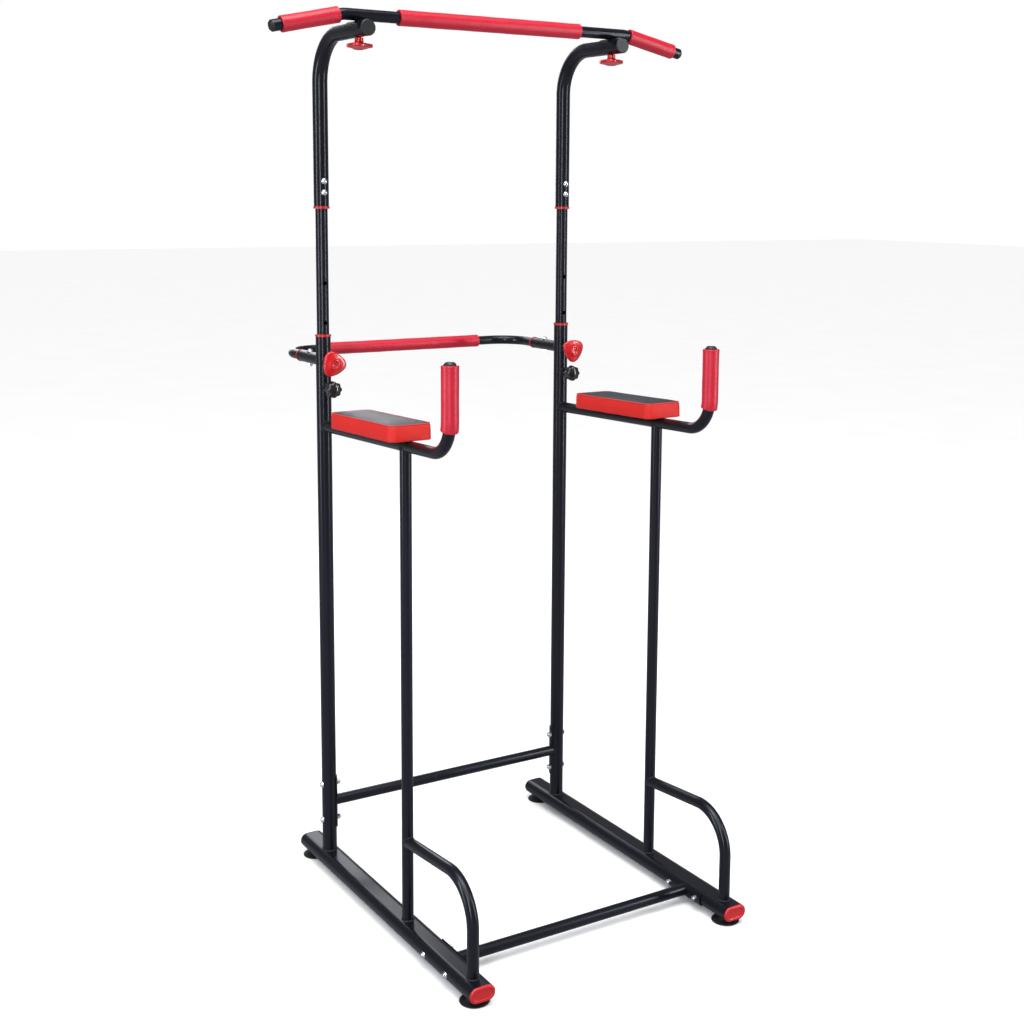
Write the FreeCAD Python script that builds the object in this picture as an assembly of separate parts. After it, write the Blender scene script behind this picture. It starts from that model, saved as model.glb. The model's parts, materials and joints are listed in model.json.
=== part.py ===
"""Power tower: a free-standing frame for pull-ups, dips and push-ups.

Two welded side frames stand on suction feet and are tied together by two bolted crossbars and a
rear bar.  A height-adjustable mast slides in the two uprights and carries the pull-up bar.

Frame: millimetres, +Z up, +X to the right, -Y to the front (the side the dip handles reach to).
The origin is on the floor, midway between the sides and midway between front and back.
Every left-hand piece is built at negative X, and its right-hand twin is its mirror image.
"""
import FreeCAD
import Part
import math
import os

Vector = FreeCAD.Vector

# ---------------------------------------------------------------- overall sizes
frame_width = 720.0            # between the axes of the two uprights
front_reach = 824.0            # upright axis to the face of the front rail cap
rear_reach = 278.0             # upright axis to the back of the rear bar's foam
rail_rear_reach = 124.0        # upright axis to the face of the rear rail cap
collar_height = 1376.0         # rail top to the top of the lower upright
mast_gap = 322.0               # top of the lower upright to the underside of the upper collar
bar_drop_height = 2118.0       # rail top to the axis of the gooseneck's level run

# ---------------------------------------------------------------- tubes
post_diameter = 38.0           # uprights and goosenecks
post_wall = 1.5
mast_diameter = 31.0           # inner mast tubes
mast_wall = 1.5
tube_diameter = 28.0           # arms, front posts, arches, crossbars, pull-up bar
tube_wall = 1.5
rear_bar_diameter = 25.0
sleeve_wall = 2.0              # stubs that hold the rear bar
foam_wall = 5.0                # grips on the pull-up bar
dip_grip_wall = 6.0
rear_foam_wall = 4.5
rail_width = 65.0              # flat-oval section of the base rails
rail_height = 38.0
rail_wall = 2.0

# ---------------------------------------------------------------- clearances
seat_clearance = 0.05          # between pieces pressed or bolted together
slide_clearance = 0.3          # radial, between a piece that moves and what guides it
sleeve_fit = 0.5               # radial, rear bar in its sleeves
bolt_clearance = 0.2           # radial, round a bolt shank
foot_gap = 0.5                 # rail underside to the top of a foot

# ---------------------------------------------------------------- feet
foot_height = 14.0             # floor to the underside of the rails
foot_diameter = 70.0
foot_neck_diameter = 32.0
foot_lip = 3.0                 # thickness of the cup at its rim
foot_cup_rise = 8.0            # floor to where the cup meets the neck
foot_hollow_depth = 2.5        # dish under the cup
foot_hollow_diameter = 52.0
foot_stud_diameter = 10.0
foot_stud_length = 24.0        # above the neck
front_foot_setback = 40.0      # from the front cap's face to the foot's axis
rear_foot_setback = 34.0       # from the rear cap's face to the foot's axis

# ---------------------------------------------------------------- rail caps
cap_thickness = 5.0
cap_bevel = 3.0
cap_tongue_length = 18.0
cap_panel_inset = 8.0
cap_panel_depth = 0.8

# ---------------------------------------------------------------- collars between tubes
collar_flange = 6.0
collar_overhang = 1.25         # flange beyond the upright, radial
lower_collar_depth = 40.0      # sleeve inside the upright
upper_collar_depth = 90.0      # sleeve inside the gooseneck

# ---------------------------------------------------------------- mast
mast_reach_into_post = 330.0   # below the top of the lower upright, mast fully up
mast_reach_into_gooseneck = 100.0
gooseneck_bend = 112.0         # radius at the tube's axis
gooseneck_reach = 277.0        # upright axis to the cut end of the gooseneck
gooseneck_plug_head = 4.0
gooseneck_plug_edge = 1.5
hole_pitch = 100.0
hole_count = 3
mast_bolt_rises = (34.0, 62.0)      # above the gooseneck's lower end
travel = hole_pitch * (hole_count - 1)     # how far the mast can be lowered

# ---------------------------------------------------------------- pull-up bar
bar_reach = 229.0              # upright axis forward to the bar's axis
bar_overhang = 40.0            # upright axis outwards to the corner of the bar's wing
bar_wing_length = 186.0        # corner to the tip of the end plug
bar_wing_angle = 12.3          # degrees below level
bar_wing_bend = 60.0
bar_foam_half = 257.0
wing_foam_start = 13.0         # along the wing from its corner
wing_foam_length = 146.0
bar_plug_head = 8.0
tube_plug_edge = 4.0           # bevel on the end plugs of the bar and the dip arms
saddle_thickness = 2.5
saddle_length = 78.0
saddle_half_angle = 96.0       # degrees each side of the top

# ---------------------------------------------------------------- dip arms
arm_drop = 231.0               # top of the lower upright down to the arm's axis
arm_rise = 0.037               # upward slope towards the handle
handle_reach = 672.0           # upright axis to the axis of the handle
handle_rise = 226.0            # arm's axis at the upright up to the cut end of the handle
arm_bend = 80.0
grip_length = 147.0
dip_plug_dome = 7.0
front_post_reach = 458.0

# ---------------------------------------------------------------- arm pads
pad_length = 346.0
pad_width = 114.0
pad_thickness = 45.0
pad_corner = 22.0
pad_rear_setback = 151.0       # upright axis to the rear end of the pad
board_thickness = 9.0
board_inset = 7.0
bracket_thickness = 3.0
bracket_width = 76.0
bracket_length = 30.0
bracket_spacing = 190.0
screw_spacing = 58.0
screw_diameter = 6.0
screw_head_diameter = 11.0
screw_head_height = 3.5

# ---------------------------------------------------------------- push-up arches
arch_height = 197.0            # rail top to the arch's axis at the front post
arch_rise = 0.08               # upward slope towards the front
arch_setback = 47.0            # front cap's face back to the axis of the arch's leg
arch_bend = 103.0

# ---------------------------------------------------------------- crossbars
rear_crossbar_height = 133.0   # rail top to its axis
rear_bolt_half_spacing = 49.0
front_crossbar_setback = 171.0 # front cap's face back to its axis
front_bolt_half_spacing = 53.0
plate_thickness = 3.0
plate_length = 140.0
plate_half_angle = 52.0

# ---------------------------------------------------------------- rear bar
rear_bar_drop = 62.0           # top of the lower upright down to its axis
rear_bar_bend = 80.0
rear_bar_foam_half = 239.0
sleeve_reach = 138.0           # upright axis to the sleeve's mouth
sleeve_ring_width = 4.0
sleeve_ring_overhang = 1.0     # beyond the sleeve, radial
rear_bar_insertion = 88.0      # length of the bar's leg inside the sleeve
sleeve_bolt_reach = 85.0

# ---------------------------------------------------------------- bolts and nuts
bolt_diameter = 8.0
bolt_head_diameter = 16.5
bolt_head_height = 7.0
bolt_end = 2.5                 # thread showing past the nut
nut_across_flats = 13.0
nut_height = 7.0

# ---------------------------------------------------------------- knobs
lock_drop = 65.0               # top of the lower upright down to the lock pin's axis
clamp_drop = 130.0             # top of the lower upright down to the clamp stud's axis
stud_diameter = 10.0
boss_diameter = 20.0
lock_boss_length = 15.0
clamp_boss_length = 18.0
pin_travel = 12.0
pin_parked_clearance = 1.0     # pin tip back inside the upright's wall while the mast is free
clamp_parked_clearance = 0.5   # clamp stud tip to the mast tube
pin_socket_depth = 10.0        # lock pin's seat in its knob
bar_stud_rise = 6.0            # bar knob's stud above the saddle
knob_hub_diameter = 21.0
knob_hub_length = 12.0
knob_span = 60.0               # from a lobe's tip to the side opposite it
knob_lobe_radius = 13.0
knob_side_flatness = 1.5       # 1 gives the roundest sides, more makes them flatter
knob_plate_thickness = 12.0
knob_edge_round = 3.5
knob_dome_diameter = 40.0
knob_dome = 4.0
knob_recess_diameter = 17.0
knob_recess_depth = 3.5        # below the top of the dome
lock_knob_turns = (-5.0, 30.0)      # degrees from +X to a lobe, left and right, seen from the front
bar_knob_turns = (4.0, 4.0)         # the same, seen from below with the front upwards
star_diameter = 43.0
star_lobes = 8
star_groove_diameter = 9.0
star_thickness = 21.0
star_hub_diameter = 20.0
star_hub_length = 10.0
star_dome = 5.0
star_gap = 2.0                 # boss to the knob's hub

# ---------------------------------------------------------------- places worked out from the above
half = frame_width / 2.0
upright_y = (front_reach - rear_reach) / 2.0
rail_top = foot_height + rail_height
rail_middle = foot_height + rail_height / 2.0
rail_round = rail_height / 2.0                      # radius of the rail's rounded sides
rail_round_offset = rail_width / 2.0 - rail_round   # rail axis to the centre of that radius
post_radius = post_diameter / 2.0
post_top = rail_top + collar_height
collar_flange_diameter = post_diameter + 2 * collar_overhang
foam_diameter = tube_diameter + 2 * foam_wall
gooseneck_bottom = post_top + mast_gap + collar_flange
gooseneck_z = rail_top + bar_drop_height
bar_z = gooseneck_z + post_radius + tube_diameter / 2.0
bar_y = upright_y - bar_reach
handle_y = upright_y - handle_reach
arm_z = post_top - arm_drop
handle_end_z = arm_z + handle_rise
front_post_y = upright_y - front_post_reach
arch_reach = front_reach - arch_setback
arch_y = upright_y - arch_reach
rear_bar_foam_diameter = rear_bar_diameter + 2 * rear_foam_wall
rear_bar_y = upright_y + rear_reach - rear_bar_foam_diameter / 2.0
sleeve_diameter = rear_bar_diameter + 2 * (sleeve_fit + sleeve_wall)
sleeve_ring_diameter = sleeve_diameter + 2 * sleeve_ring_overhang
front_crossbar_y = upright_y - front_reach + front_crossbar_setback
rear_bar_z = post_top - rear_bar_drop
lock_z = post_top - lock_drop
clamp_z = post_top - clamp_drop
stud_hole = stud_diameter + 2 * slide_clearance
bolt_hole = bolt_diameter + 2 * bolt_clearance
front_foot_y = upright_y - front_reach + front_foot_setback
rear_foot_y = upright_y + rail_rear_reach - rear_foot_setback

X_AXIS = Vector(1, 0, 0)
Y_AXIS = Vector(0, 1, 0)
Z_AXIS = Vector(0, 0, 1)
FRONT = Vector(0, -1, 0)
DOWN = Vector(0, 0, -1)


# ================================================================ shape helpers
def rod(start, end, diameter):
    """Solid round bar from one point to another."""
    run = end - start
    return Part.makeCylinder(diameter / 2.0, run.Length, start, run)


def tube(start, end, diameter, wall):
    """Round tube from one point to another, open at both ends."""
    return rod(start, end, diameter).cut(rod(start, end, diameter - 2 * wall))


def ring_face(centre, normal, diameter, wall):
    """Flat ring, or a full disc where the wall is None, square to the normal."""
    outer = Part.Face(Part.Wire(Part.makeCircle(diameter / 2.0, centre, normal)))
    if wall is None:
        return outer
    inner = Part.Face(Part.Wire(Part.makeCircle(diameter / 2.0 - wall, centre, normal)))
    return outer.cut(inner)


def bent_tube(corners, bend_radius, diameter, wall=None):
    """Tube along straight runs between corner points, with a bend of one radius at each corner."""
    pieces = []
    start = corners[0]
    for before, corner, after in zip(corners, corners[1:], corners[2:]):
        heading = (corner - before).normalize()
        leaving = (after - corner).normalize()
        turn = heading.getAngle(leaving)
        setback = bend_radius * math.tan(turn / 2.0)
        bend_start = corner - heading * setback
        axis = heading.cross(leaving).normalize()
        centre = bend_start + axis.cross(heading) * bend_radius
        pieces.append(ring_face(start, heading, diameter, wall).extrude(bend_start - start))
        bend_face = ring_face(bend_start, heading, diameter, wall)
        pieces.append(bend_face.revolve(centre, axis, math.degrees(turn)))
        start = corner + leaving * setback
    last_run = corners[-1] - start
    pieces.append(ring_face(start, last_run, diameter, wall).extrude(last_run))
    whole = pieces[0].fuse(pieces[1:]).removeSplitter()
    return whole.Solids[0]


def stadium_face(width, height, centre):
    """Flat-oval outline in the XZ plane: flat top and bottom, half-round sides."""
    radius = height / 2.0
    straight = width / 2.0 - radius
    top_left = centre + Vector(-straight, 0, radius)
    top_right = centre + Vector(straight, 0, radius)
    low_right = centre + Vector(straight, 0, -radius)
    low_left = centre + Vector(-straight, 0, -radius)
    right_arc = Part.Arc(top_right, centre + Vector(straight + radius, 0, 0), low_right)
    left_arc = Part.Arc(low_left, centre + Vector(-straight - radius, 0, 0), top_left)
    edges = [Part.makeLine(top_left, top_right), right_arc.toShape(),
             Part.makeLine(low_right, low_left), left_arc.toShape()]
    return Part.Face(Part.Wire(edges))


def stadium_bar(width, height, start, end):
    """Flat-oval bar along Y from one point to another."""
    return stadium_face(width, height, start).extrude(end - start)


def curved_plate(centre, facing, along, inner_radius, thickness, half_angle, length):
    """Plate rolled to a radius: a sector of a pipe centred on the facing direction."""
    side = along.cross(facing)
    spread = math.radians(half_angle)
    base = centre - along * (length / 2.0)

    def at(radius, angle):
        return base + facing * (radius * math.cos(angle)) + side * (radius * math.sin(angle))

    outer_radius = inner_radius + thickness
    outer = Part.Arc(at(outer_radius, -spread), at(outer_radius, 0), at(outer_radius, spread))
    inner = Part.Arc(at(inner_radius, spread), at(inner_radius, 0), at(inner_radius, -spread))
    edges = [outer.toShape(),
             Part.makeLine(at(outer_radius, spread), at(inner_radius, spread)),
             inner.toShape(),
             Part.makeLine(at(inner_radius, -spread), at(outer_radius, -spread))]
    return Part.Face(Part.Wire(edges)).extrude(along * length)


def revolved(profile, centre, axis):
    """Solid of revolution from (radius, distance along the axis) points."""
    side = Y_AXIS if abs(axis.y) < 0.5 else X_AXIS
    points = [centre + side * radius + axis * along for radius, along in profile]
    outline = Part.makePolygon(points + [points[0]])
    return Part.Face(outline).revolve(centre, axis, 360)


def domed_head(seat, direction, diameter, height):
    """Low dome standing on a seat point: a slice of a sphere whose flat side is the seat."""
    radius = diameter / 2.0
    sphere_radius = (radius * radius + height * height) / (2.0 * height)
    centre = seat + direction * (height - sphere_radius)
    sphere = Part.makeSphere(sphere_radius, centre)
    keep = Part.makeCylinder(diameter, diameter, seat, direction)
    return sphere.common(keep).Solids[0]


def bolt(seat, inward, grip):
    """Dome-head bolt: the head stands on the seat, the shank runs inward past the grip and nut."""
    head = domed_head(seat, inward * -1, bolt_head_diameter, bolt_head_height)
    shank = rod(seat, seat + inward * (grip + nut_height + bolt_end), bolt_diameter)
    return head.fuse(shank).removeSplitter()


def nut(seat, outward):
    """Hexagon nut standing on a seat point, bored for its bolt."""
    corner_radius = nut_across_flats / math.sqrt(3.0)
    side = Z_AXIS if abs(outward.z) < 0.5 else X_AXIS
    other = outward.cross(side)
    corners = []
    for step in range(7):
        angle = math.radians(60 * step)
        corners.append(seat + side * (corner_radius * math.cos(angle))
                       + other * (corner_radius * math.sin(angle)))
    body = Part.Face(Part.makePolygon(corners)).extrude(outward * nut_height)
    return body.cut(rod(seat, seat + outward * nut_height, bolt_diameter + 2 * seat_clearance))


def mirrored(shape):
    """The right-hand twin of a left-hand piece."""
    return shape.mirror(Vector(0, 0, 0), X_AXIS)


nodes = {}


def keep_pair(name, left_shape):
    """One node for the left piece and one for its mirror image."""
    nodes[name + "_left"] = left_shape
    nodes[name + "_right"] = mirrored(left_shape)


def keep_group(name, left_shapes, mirror=True):
    """One node that holds several separate solids, with their mirror images."""
    solids = list(left_shapes)
    if mirror:
        solids += [mirrored(shape) for shape in left_shapes]
    nodes[name] = Part.makeCompound(solids)


# ================================================================ base rails
def rail_point(y, z=rail_middle):
    """A point on the left rail's centre plane."""
    return Vector(-half, y, z)


rail_front_y = upright_y - front_reach + cap_thickness
rail_rear_y = upright_y + rail_rear_reach - cap_thickness
foot_stud_hole = foot_stud_diameter + 2 * slide_clearance
front_bolt_ys = [front_crossbar_y + side * front_bolt_half_spacing for side in (-1, 1)]
rear_bolt_zs = [rail_top + rear_crossbar_height + side * rear_bolt_half_spacing for side in (-1, 1)]


def base_rail():
    """Flat-oval tube, drilled below for the feet and across for the front crossbar's bolts."""
    front, rear = rail_point(rail_front_y), rail_point(rail_rear_y)
    shape = stadium_bar(rail_width, rail_height, front, rear)
    bore_width = rail_width - 2 * rail_wall
    bore_height = rail_height - 2 * rail_wall
    shape = shape.cut(stadium_bar(bore_width, bore_height, front, rear))
    for y in (front_foot_y, rear_foot_y):
        shape = shape.cut(rod(rail_point(y, 0.0), rail_point(y), foot_stud_hole))
    for y in front_bolt_ys:
        outside = Vector(-half - rail_width, y, rail_middle)
        shape = shape.cut(rod(outside, outside + X_AXIS * (2 * rail_width), bolt_hole))
    return shape


def rail_cap(face_y, outward):
    """Plug for a rail's end: a bevelled flat-oval face with a shallow panel, and a tongue inside."""
    face = rail_point(face_y)
    inner = face - outward * cap_thickness
    plate = stadium_bar(rail_width, rail_height, inner, face)
    rim = [edge for edge in plate.Edges
           if abs(edge.BoundBox.YMin - face_y) < 0.01 and abs(edge.BoundBox.YMax - face_y) < 0.01]
    plate = plate.makeChamfer(cap_bevel, rim)
    panel = stadium_bar(rail_width - 2 * cap_panel_inset, rail_height - 2 * cap_panel_inset,
                        face - outward * cap_panel_depth, face)
    tongue_trim = 2 * (rail_wall + seat_clearance)
    tongue = stadium_bar(rail_width - tongue_trim, rail_height - tongue_trim,
                         inner - outward * cap_tongue_length, inner)
    hollow_trim = tongue_trim + 2 * rail_wall
    hollow = stadium_bar(rail_width - hollow_trim, rail_height - hollow_trim,
                         inner - outward * cap_tongue_length, inner)
    return plate.cut(panel).fuse(tongue.cut(hollow)).removeSplitter()


keep_pair("base_rail", base_rail())
keep_pair("front_rail_cap", rail_cap(upright_y - front_reach, FRONT))
keep_group("rear_rail_caps", [rail_cap(upright_y + rail_rear_reach, Y_AXIS)])


# ================================================================ feet
def suction_foot(y):
    """Rubber suction cup with a narrow neck, moulded round a levelling stud."""
    rim = foot_diameter / 2.0
    neck = foot_neck_diameter / 2.0
    top = foot_height - foot_gap
    stud = foot_stud_diameter / 2.0
    profile = [(0, foot_hollow_depth), (foot_hollow_diameter / 2.0, 0), (rim, 0), (rim, foot_lip),
               (neck, foot_cup_rise), (neck, top), (stud, top),
               (stud, top + foot_stud_length), (0, top + foot_stud_length)]
    return revolved(profile, rail_point(y, 0.0), Z_AXIS)


keep_pair("front_foot", suction_foot(front_foot_y))
keep_pair("rear_foot", suction_foot(rear_foot_y))


# ================================================================ uprights and the collars on them
def on_upright(z):
    """A point on the left upright's axis."""
    return Vector(-half, upright_y, z)


def upright():
    """Lower upright: a plain tube with holes for the crossbar bolts, the lock pin and the clamp stud."""
    shape = tube(on_upright(rail_top), on_upright(post_top), post_diameter, post_wall)
    for z in rear_bolt_zs:
        outside = on_upright(z) - X_AXIS * post_diameter
        shape = shape.cut(rod(outside, outside + X_AXIS * (2 * post_diameter), bolt_hole))
    for z in (lock_z, clamp_z):
        shape = shape.cut(rod(on_upright(z), on_upright(z) + FRONT * post_diameter, stud_hole))
    return shape


def collar(seat_z, into_tube, depth, bore_diameter):
    """Flanged plastic bush: the flange stands on a tube's cut end, the sleeve reaches into it."""
    seat = on_upright(seat_z)
    sleeve_outside = post_diameter - 2 * post_wall - 2 * seat_clearance
    flange = rod(seat - into_tube * collar_flange, seat, collar_flange_diameter)
    sleeve = rod(seat, seat + into_tube * depth, sleeve_outside)
    bore = rod(seat - into_tube * collar_flange, seat + into_tube * depth, bore_diameter)
    return flange.fuse(sleeve).cut(bore).removeSplitter()


mast_bolt_zs = [gooseneck_bottom + rise for rise in mast_bolt_rises]


def drilled_for_mast_bolts(shape):
    """Cuts the front-to-back holes of the two bolts that join a gooseneck to its mast tube."""
    for z in mast_bolt_zs:
        front = on_upright(z) + FRONT * post_diameter
        shape = shape.cut(rod(front, front + Y_AXIS * (2 * post_diameter), bolt_hole))
    return shape


lower_collar = collar(post_top, DOWN, lower_collar_depth, mast_diameter + 2 * slide_clearance)
upper_collar = collar(gooseneck_bottom, Z_AXIS, upper_collar_depth, mast_diameter + 2 * seat_clearance)
keep_pair("upright", upright())
keep_pair("lower_collar", lower_collar)
keep_group("upper_collars", [drilled_for_mast_bolts(upper_collar)])


# ================================================================ mast
def mast_tube():
    """Inner tube with a row of locking holes down its front."""
    bottom = on_upright(post_top - mast_reach_into_post)
    top = on_upright(gooseneck_bottom + mast_reach_into_gooseneck)
    shape = tube(bottom, top, mast_diameter, mast_wall)
    for step in range(hole_count):
        hole = on_upright(lock_z + step * hole_pitch)
        shape = shape.cut(rod(hole, hole + FRONT * mast_diameter, stud_hole))
    return drilled_for_mast_bolts(shape)


def gooseneck():
    """Upper tube: straight up, then bent forward to a level end that carries the bar."""
    corner = on_upright(gooseneck_z)
    end = corner + FRONT * gooseneck_reach
    shape = bent_tube([on_upright(gooseneck_bottom), corner, end], gooseneck_bend,
                      post_diameter, post_wall)
    shape = drilled_for_mast_bolts(shape)
    below = Vector(-half, bar_y, gooseneck_z - post_diameter)
    return shape.cut(rod(below, below + Z_AXIS * (2 * post_diameter), stud_hole))


def round_plug(seat, outward, tube_outside, wall, head_length, edge):
    """Plastic plug: a head with a bevelled edge as wide as the tube, and a tongue in its bore."""
    rim = tube_outside / 2.0
    tongue = rim - wall - seat_clearance
    profile = [(0, -tongue), (tongue, -tongue), (tongue, 0), (rim, 0), (rim, head_length - edge),
               (rim - edge, head_length), (0, head_length)]
    return revolved(profile, seat, outward)


keep_pair("mast_tube", mast_tube())
keep_pair("gooseneck", gooseneck())
gooseneck_end = Vector(-half, upright_y - gooseneck_reach, gooseneck_z)
keep_group("gooseneck_plugs", [round_plug(gooseneck_end, FRONT, post_diameter, post_wall,
                                          gooseneck_plug_head, gooseneck_plug_edge)])
keep_group("mast_bolts", [bolt(on_upright(z) + FRONT * post_radius, Y_AXIS, post_diameter)
                          for z in mast_bolt_zs])
keep_group("mast_nuts", [nut(on_upright(z) + Y_AXIS * post_radius, Y_AXIS) for z in mast_bolt_zs])


# ================================================================ pull-up bar
wing_slope = math.radians(bar_wing_angle)
wing_heading = Vector(-math.cos(wing_slope), 0, -math.sin(wing_slope))
wing_corner = Vector(-half - bar_overhang, bar_y, bar_z)
wing_end = wing_corner + wing_heading * (bar_wing_length - bar_plug_head)
saddle_inner = post_radius + seat_clearance
saddle_outer = saddle_inner + saddle_thickness


def bar_saddle():
    """Half-round saddle under the bar that sits over the gooseneck's end, holed for the knob stud."""
    centre = Vector(-half, bar_y, gooseneck_z)
    shape = curved_plate(centre, Z_AXIS, Y_AXIS, saddle_inner, saddle_thickness,
                         saddle_half_angle, saddle_length)
    return shape.cut(rod(centre, centre + Z_AXIS * post_diameter, stud_hole))


def pull_up_bar():
    """Bar with down-turned wings, let into both saddles and holed below for the knob studs."""
    right_corner = Vector(-wing_corner.x, wing_corner.y, wing_corner.z)
    right_end = Vector(-wing_end.x, wing_end.y, wing_end.z)
    shape = bent_tube([wing_end, wing_corner, right_corner, right_end], bar_wing_bend,
                      tube_diameter, tube_wall)
    for x in (-half, half):
        crossing = Vector(x, bar_y, gooseneck_z)
        notch = rod(crossing + FRONT * tube_diameter, crossing + Y_AXIS * tube_diameter,
                    2 * (saddle_outer + seat_clearance))
        shape = shape.cut(notch)
        shape = shape.cut(rod(crossing, Vector(x, bar_y, bar_z), stud_hole))
    return shape


def foam_sleeve(start, end, outside, tube_outside):
    """Foam grip pushed over a straight run of tube."""
    inner = tube_outside + 2 * seat_clearance
    return tube(start, end, outside, (outside - inner) / 2.0)


nodes["pull_up_bar"] = pull_up_bar()
keep_group("bar_saddles", [bar_saddle()])
bar_middle = Vector(0, bar_y, bar_z)
nodes["bar_centre_foam"] = foam_sleeve(bar_middle - X_AXIS * bar_foam_half,
                                       bar_middle + X_AXIS * bar_foam_half,
                                       foam_diameter, tube_diameter)
wing_foam_from = wing_corner + wing_heading * wing_foam_start
wing_foam_to = wing_foam_from + wing_heading * wing_foam_length
keep_group("bar_wing_foams", [foam_sleeve(wing_foam_from, wing_foam_to, foam_diameter, tube_diameter)])
keep_group("bar_plugs", [round_plug(wing_end, wing_heading, tube_diameter, tube_wall,
                                    bar_plug_head, tube_plug_edge)])


# ================================================================ dip arms and front posts
def on_arm(reach, lift=0.0):
    """A point at a reach in front of the upright, lifted square to the sloping arm's axis."""
    slope = math.atan(arm_rise)
    along = Vector(0, -math.cos(slope), math.sin(slope))
    normal = Vector(0, math.sin(slope), math.cos(slope))
    return Vector(-half, upright_y, arm_z) + along * (reach / math.cos(slope)) + normal * lift


upright_cutter = rod(on_upright(rail_top), on_upright(post_top), post_diameter + 2 * seat_clearance)
handle_end = Vector(-half, handle_y, handle_end_z)
arm_corners = [on_arm(0.0), on_arm(handle_reach), handle_end]


def dip_arm():
    """Arm coped on to the upright, running forward and turning up into the handle."""
    return bent_tube(arm_corners, arm_bend, tube_diameter, tube_wall).cut(upright_cutter).Solids[0]


def front_post():
    """Post from the rail to the arm, coped to the arm's underside."""
    low = Vector(-half, front_post_y, rail_top)
    high = on_arm(front_post_reach)
    arm_cutter = rod(on_arm(0.0), on_arm(handle_reach), tube_diameter + 2 * seat_clearance)
    return tube(low, high, tube_diameter, tube_wall).cut(arm_cutter).Solids[0]


def dip_grip():
    """Foam grip over the handle and the start of its bend, cut off level below."""
    wall = dip_grip_wall - seat_clearance
    whole = bent_tube(arm_corners, arm_bend, tube_diameter + 2 * dip_grip_wall, wall)
    room = 2 * handle_reach
    corner = handle_end - Vector(room / 2.0, room / 2.0, grip_length)
    return whole.common(Part.makeBox(room, room, 2 * grip_length, corner)).Solids[0]


keep_pair("dip_arm", dip_arm())
keep_pair("front_post", front_post())
keep_pair("dip_grip", dip_grip())
keep_group("dip_arm_plugs", [round_plug(handle_end, Z_AXIS, tube_diameter, tube_wall,
                                        dip_plug_dome, tube_plug_edge)])


# ================================================================ arm pads
def laid_on_arm(shape):
    """Moves a shape drawn level, upright axis at the origin, on to the sloping top of the left arm."""
    slope = math.degrees(math.atan(arm_rise))
    placed = shape.copy()
    placed.rotate(Vector(0, 0, 0), X_AXIS, -slope)
    placed.translate(Vector(-half, upright_y, arm_z))
    return placed


def rounded_slab(length, width, corner, rear, low, high):
    """Slab with rounded corners, its rear end at a given reach in front of the upright."""
    box = Part.makeBox(width, length, high - low, Vector(-width / 2.0, -rear - length, low))
    uprights = [edge for edge in box.Edges if abs(edge.BoundBox.ZLength - (high - low)) < 0.01]
    return box.makeFillet(corner, uprights)


pad_low = tube_diameter / 2.0 + seat_clearance
bracket_low = pad_low
bracket_high = bracket_low + bracket_thickness
board_high = pad_low + board_thickness
pad_middle = pad_rear_setback + pad_length / 2.0
bracket_middles = [pad_middle + side * bracket_spacing / 2.0 for side in (-1, 1)]
screw_xs = (-screw_spacing / 2.0, screw_spacing / 2.0)


def bracket_block(middle, clearance):
    """Flat block where a bracket lies across the arm, larger by a clearance on its sides and top."""
    width = bracket_width + 2 * clearance
    length = bracket_length + 2 * clearance
    corner = Vector(-width / 2.0, -middle - length / 2.0, bracket_low)
    return Part.makeBox(width, length, bracket_thickness + clearance, corner)


def pad_board():
    """Plywood board let into the pad, rebated below for the brackets and drilled for its screws."""
    shape = rounded_slab(pad_length - 2 * board_inset, pad_width - 2 * board_inset,
                         pad_corner - board_inset, pad_rear_setback + board_inset,
                         pad_low, board_high)
    for middle in bracket_middles:
        shape = shape.cut(bracket_block(middle, seat_clearance))
        for x in screw_xs:
            hole = Vector(x, -middle, pad_low)
            shape = shape.cut(rod(hole, hole + Z_AXIS * board_thickness,
                                  screw_diameter + 2 * seat_clearance))
    return shape


def arm_pad():
    """Cushion over the board: its cover comes down round the board's edge."""
    block = rounded_slab(pad_length, pad_width, pad_corner, pad_rear_setback,
                         pad_low, pad_low + pad_thickness)
    pocket_inset = board_inset - seat_clearance
    pocket = rounded_slab(pad_length - 2 * pocket_inset, pad_width - 2 * pocket_inset,
                          pad_corner - pocket_inset, pad_rear_setback + pocket_inset,
                          pad_low, board_high + seat_clearance)
    return block.cut(pocket)


def pad_bracket(middle):
    """Flat strap across the arm's top, drilled at both ends."""
    strap = bracket_block(middle, 0.0)
    for x in screw_xs:
        hole = Vector(x, -middle, bracket_low)
        strap = strap.cut(rod(hole, hole + Z_AXIS * bracket_thickness,
                              screw_diameter + 2 * seat_clearance))
    return strap


def pad_screw(x, middle):
    """Screw from below, through the bracket into the board."""
    seat = Vector(x, -middle, bracket_low)
    head = domed_head(seat, DOWN, screw_head_diameter, screw_head_height)
    return head.fuse(rod(seat, Vector(x, -middle, board_high), screw_diameter)).removeSplitter()


keep_pair("arm_pad", laid_on_arm(arm_pad()))
keep_group("pad_boards", [laid_on_arm(pad_board())])
keep_group("pad_brackets", [laid_on_arm(pad_bracket(middle)) for middle in bracket_middles])
keep_group("pad_screws", [laid_on_arm(pad_screw(x, middle))
                          for middle in bracket_middles for x in screw_xs])


# ================================================================ push-up arches
def push_up_arch():
    """Low handle: forward from the front post, then bent down to the rail."""
    arch_z = rail_top + arch_height
    corner_z = arch_z + arch_rise * (arch_reach - front_post_reach)
    corners = [Vector(-half, front_post_y, arch_z), Vector(-half, arch_y, corner_z),
               Vector(-half, arch_y, rail_top)]
    post_cutter = rod(Vector(-half, front_post_y, rail_top),
                      Vector(-half, front_post_y, corner_z + tube_diameter),
                      tube_diameter + 2 * seat_clearance)
    return bent_tube(corners, arch_bend, tube_diameter, tube_wall).cut(post_cutter).Solids[0]


keep_pair("push_up_arch", push_up_arch())


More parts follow.
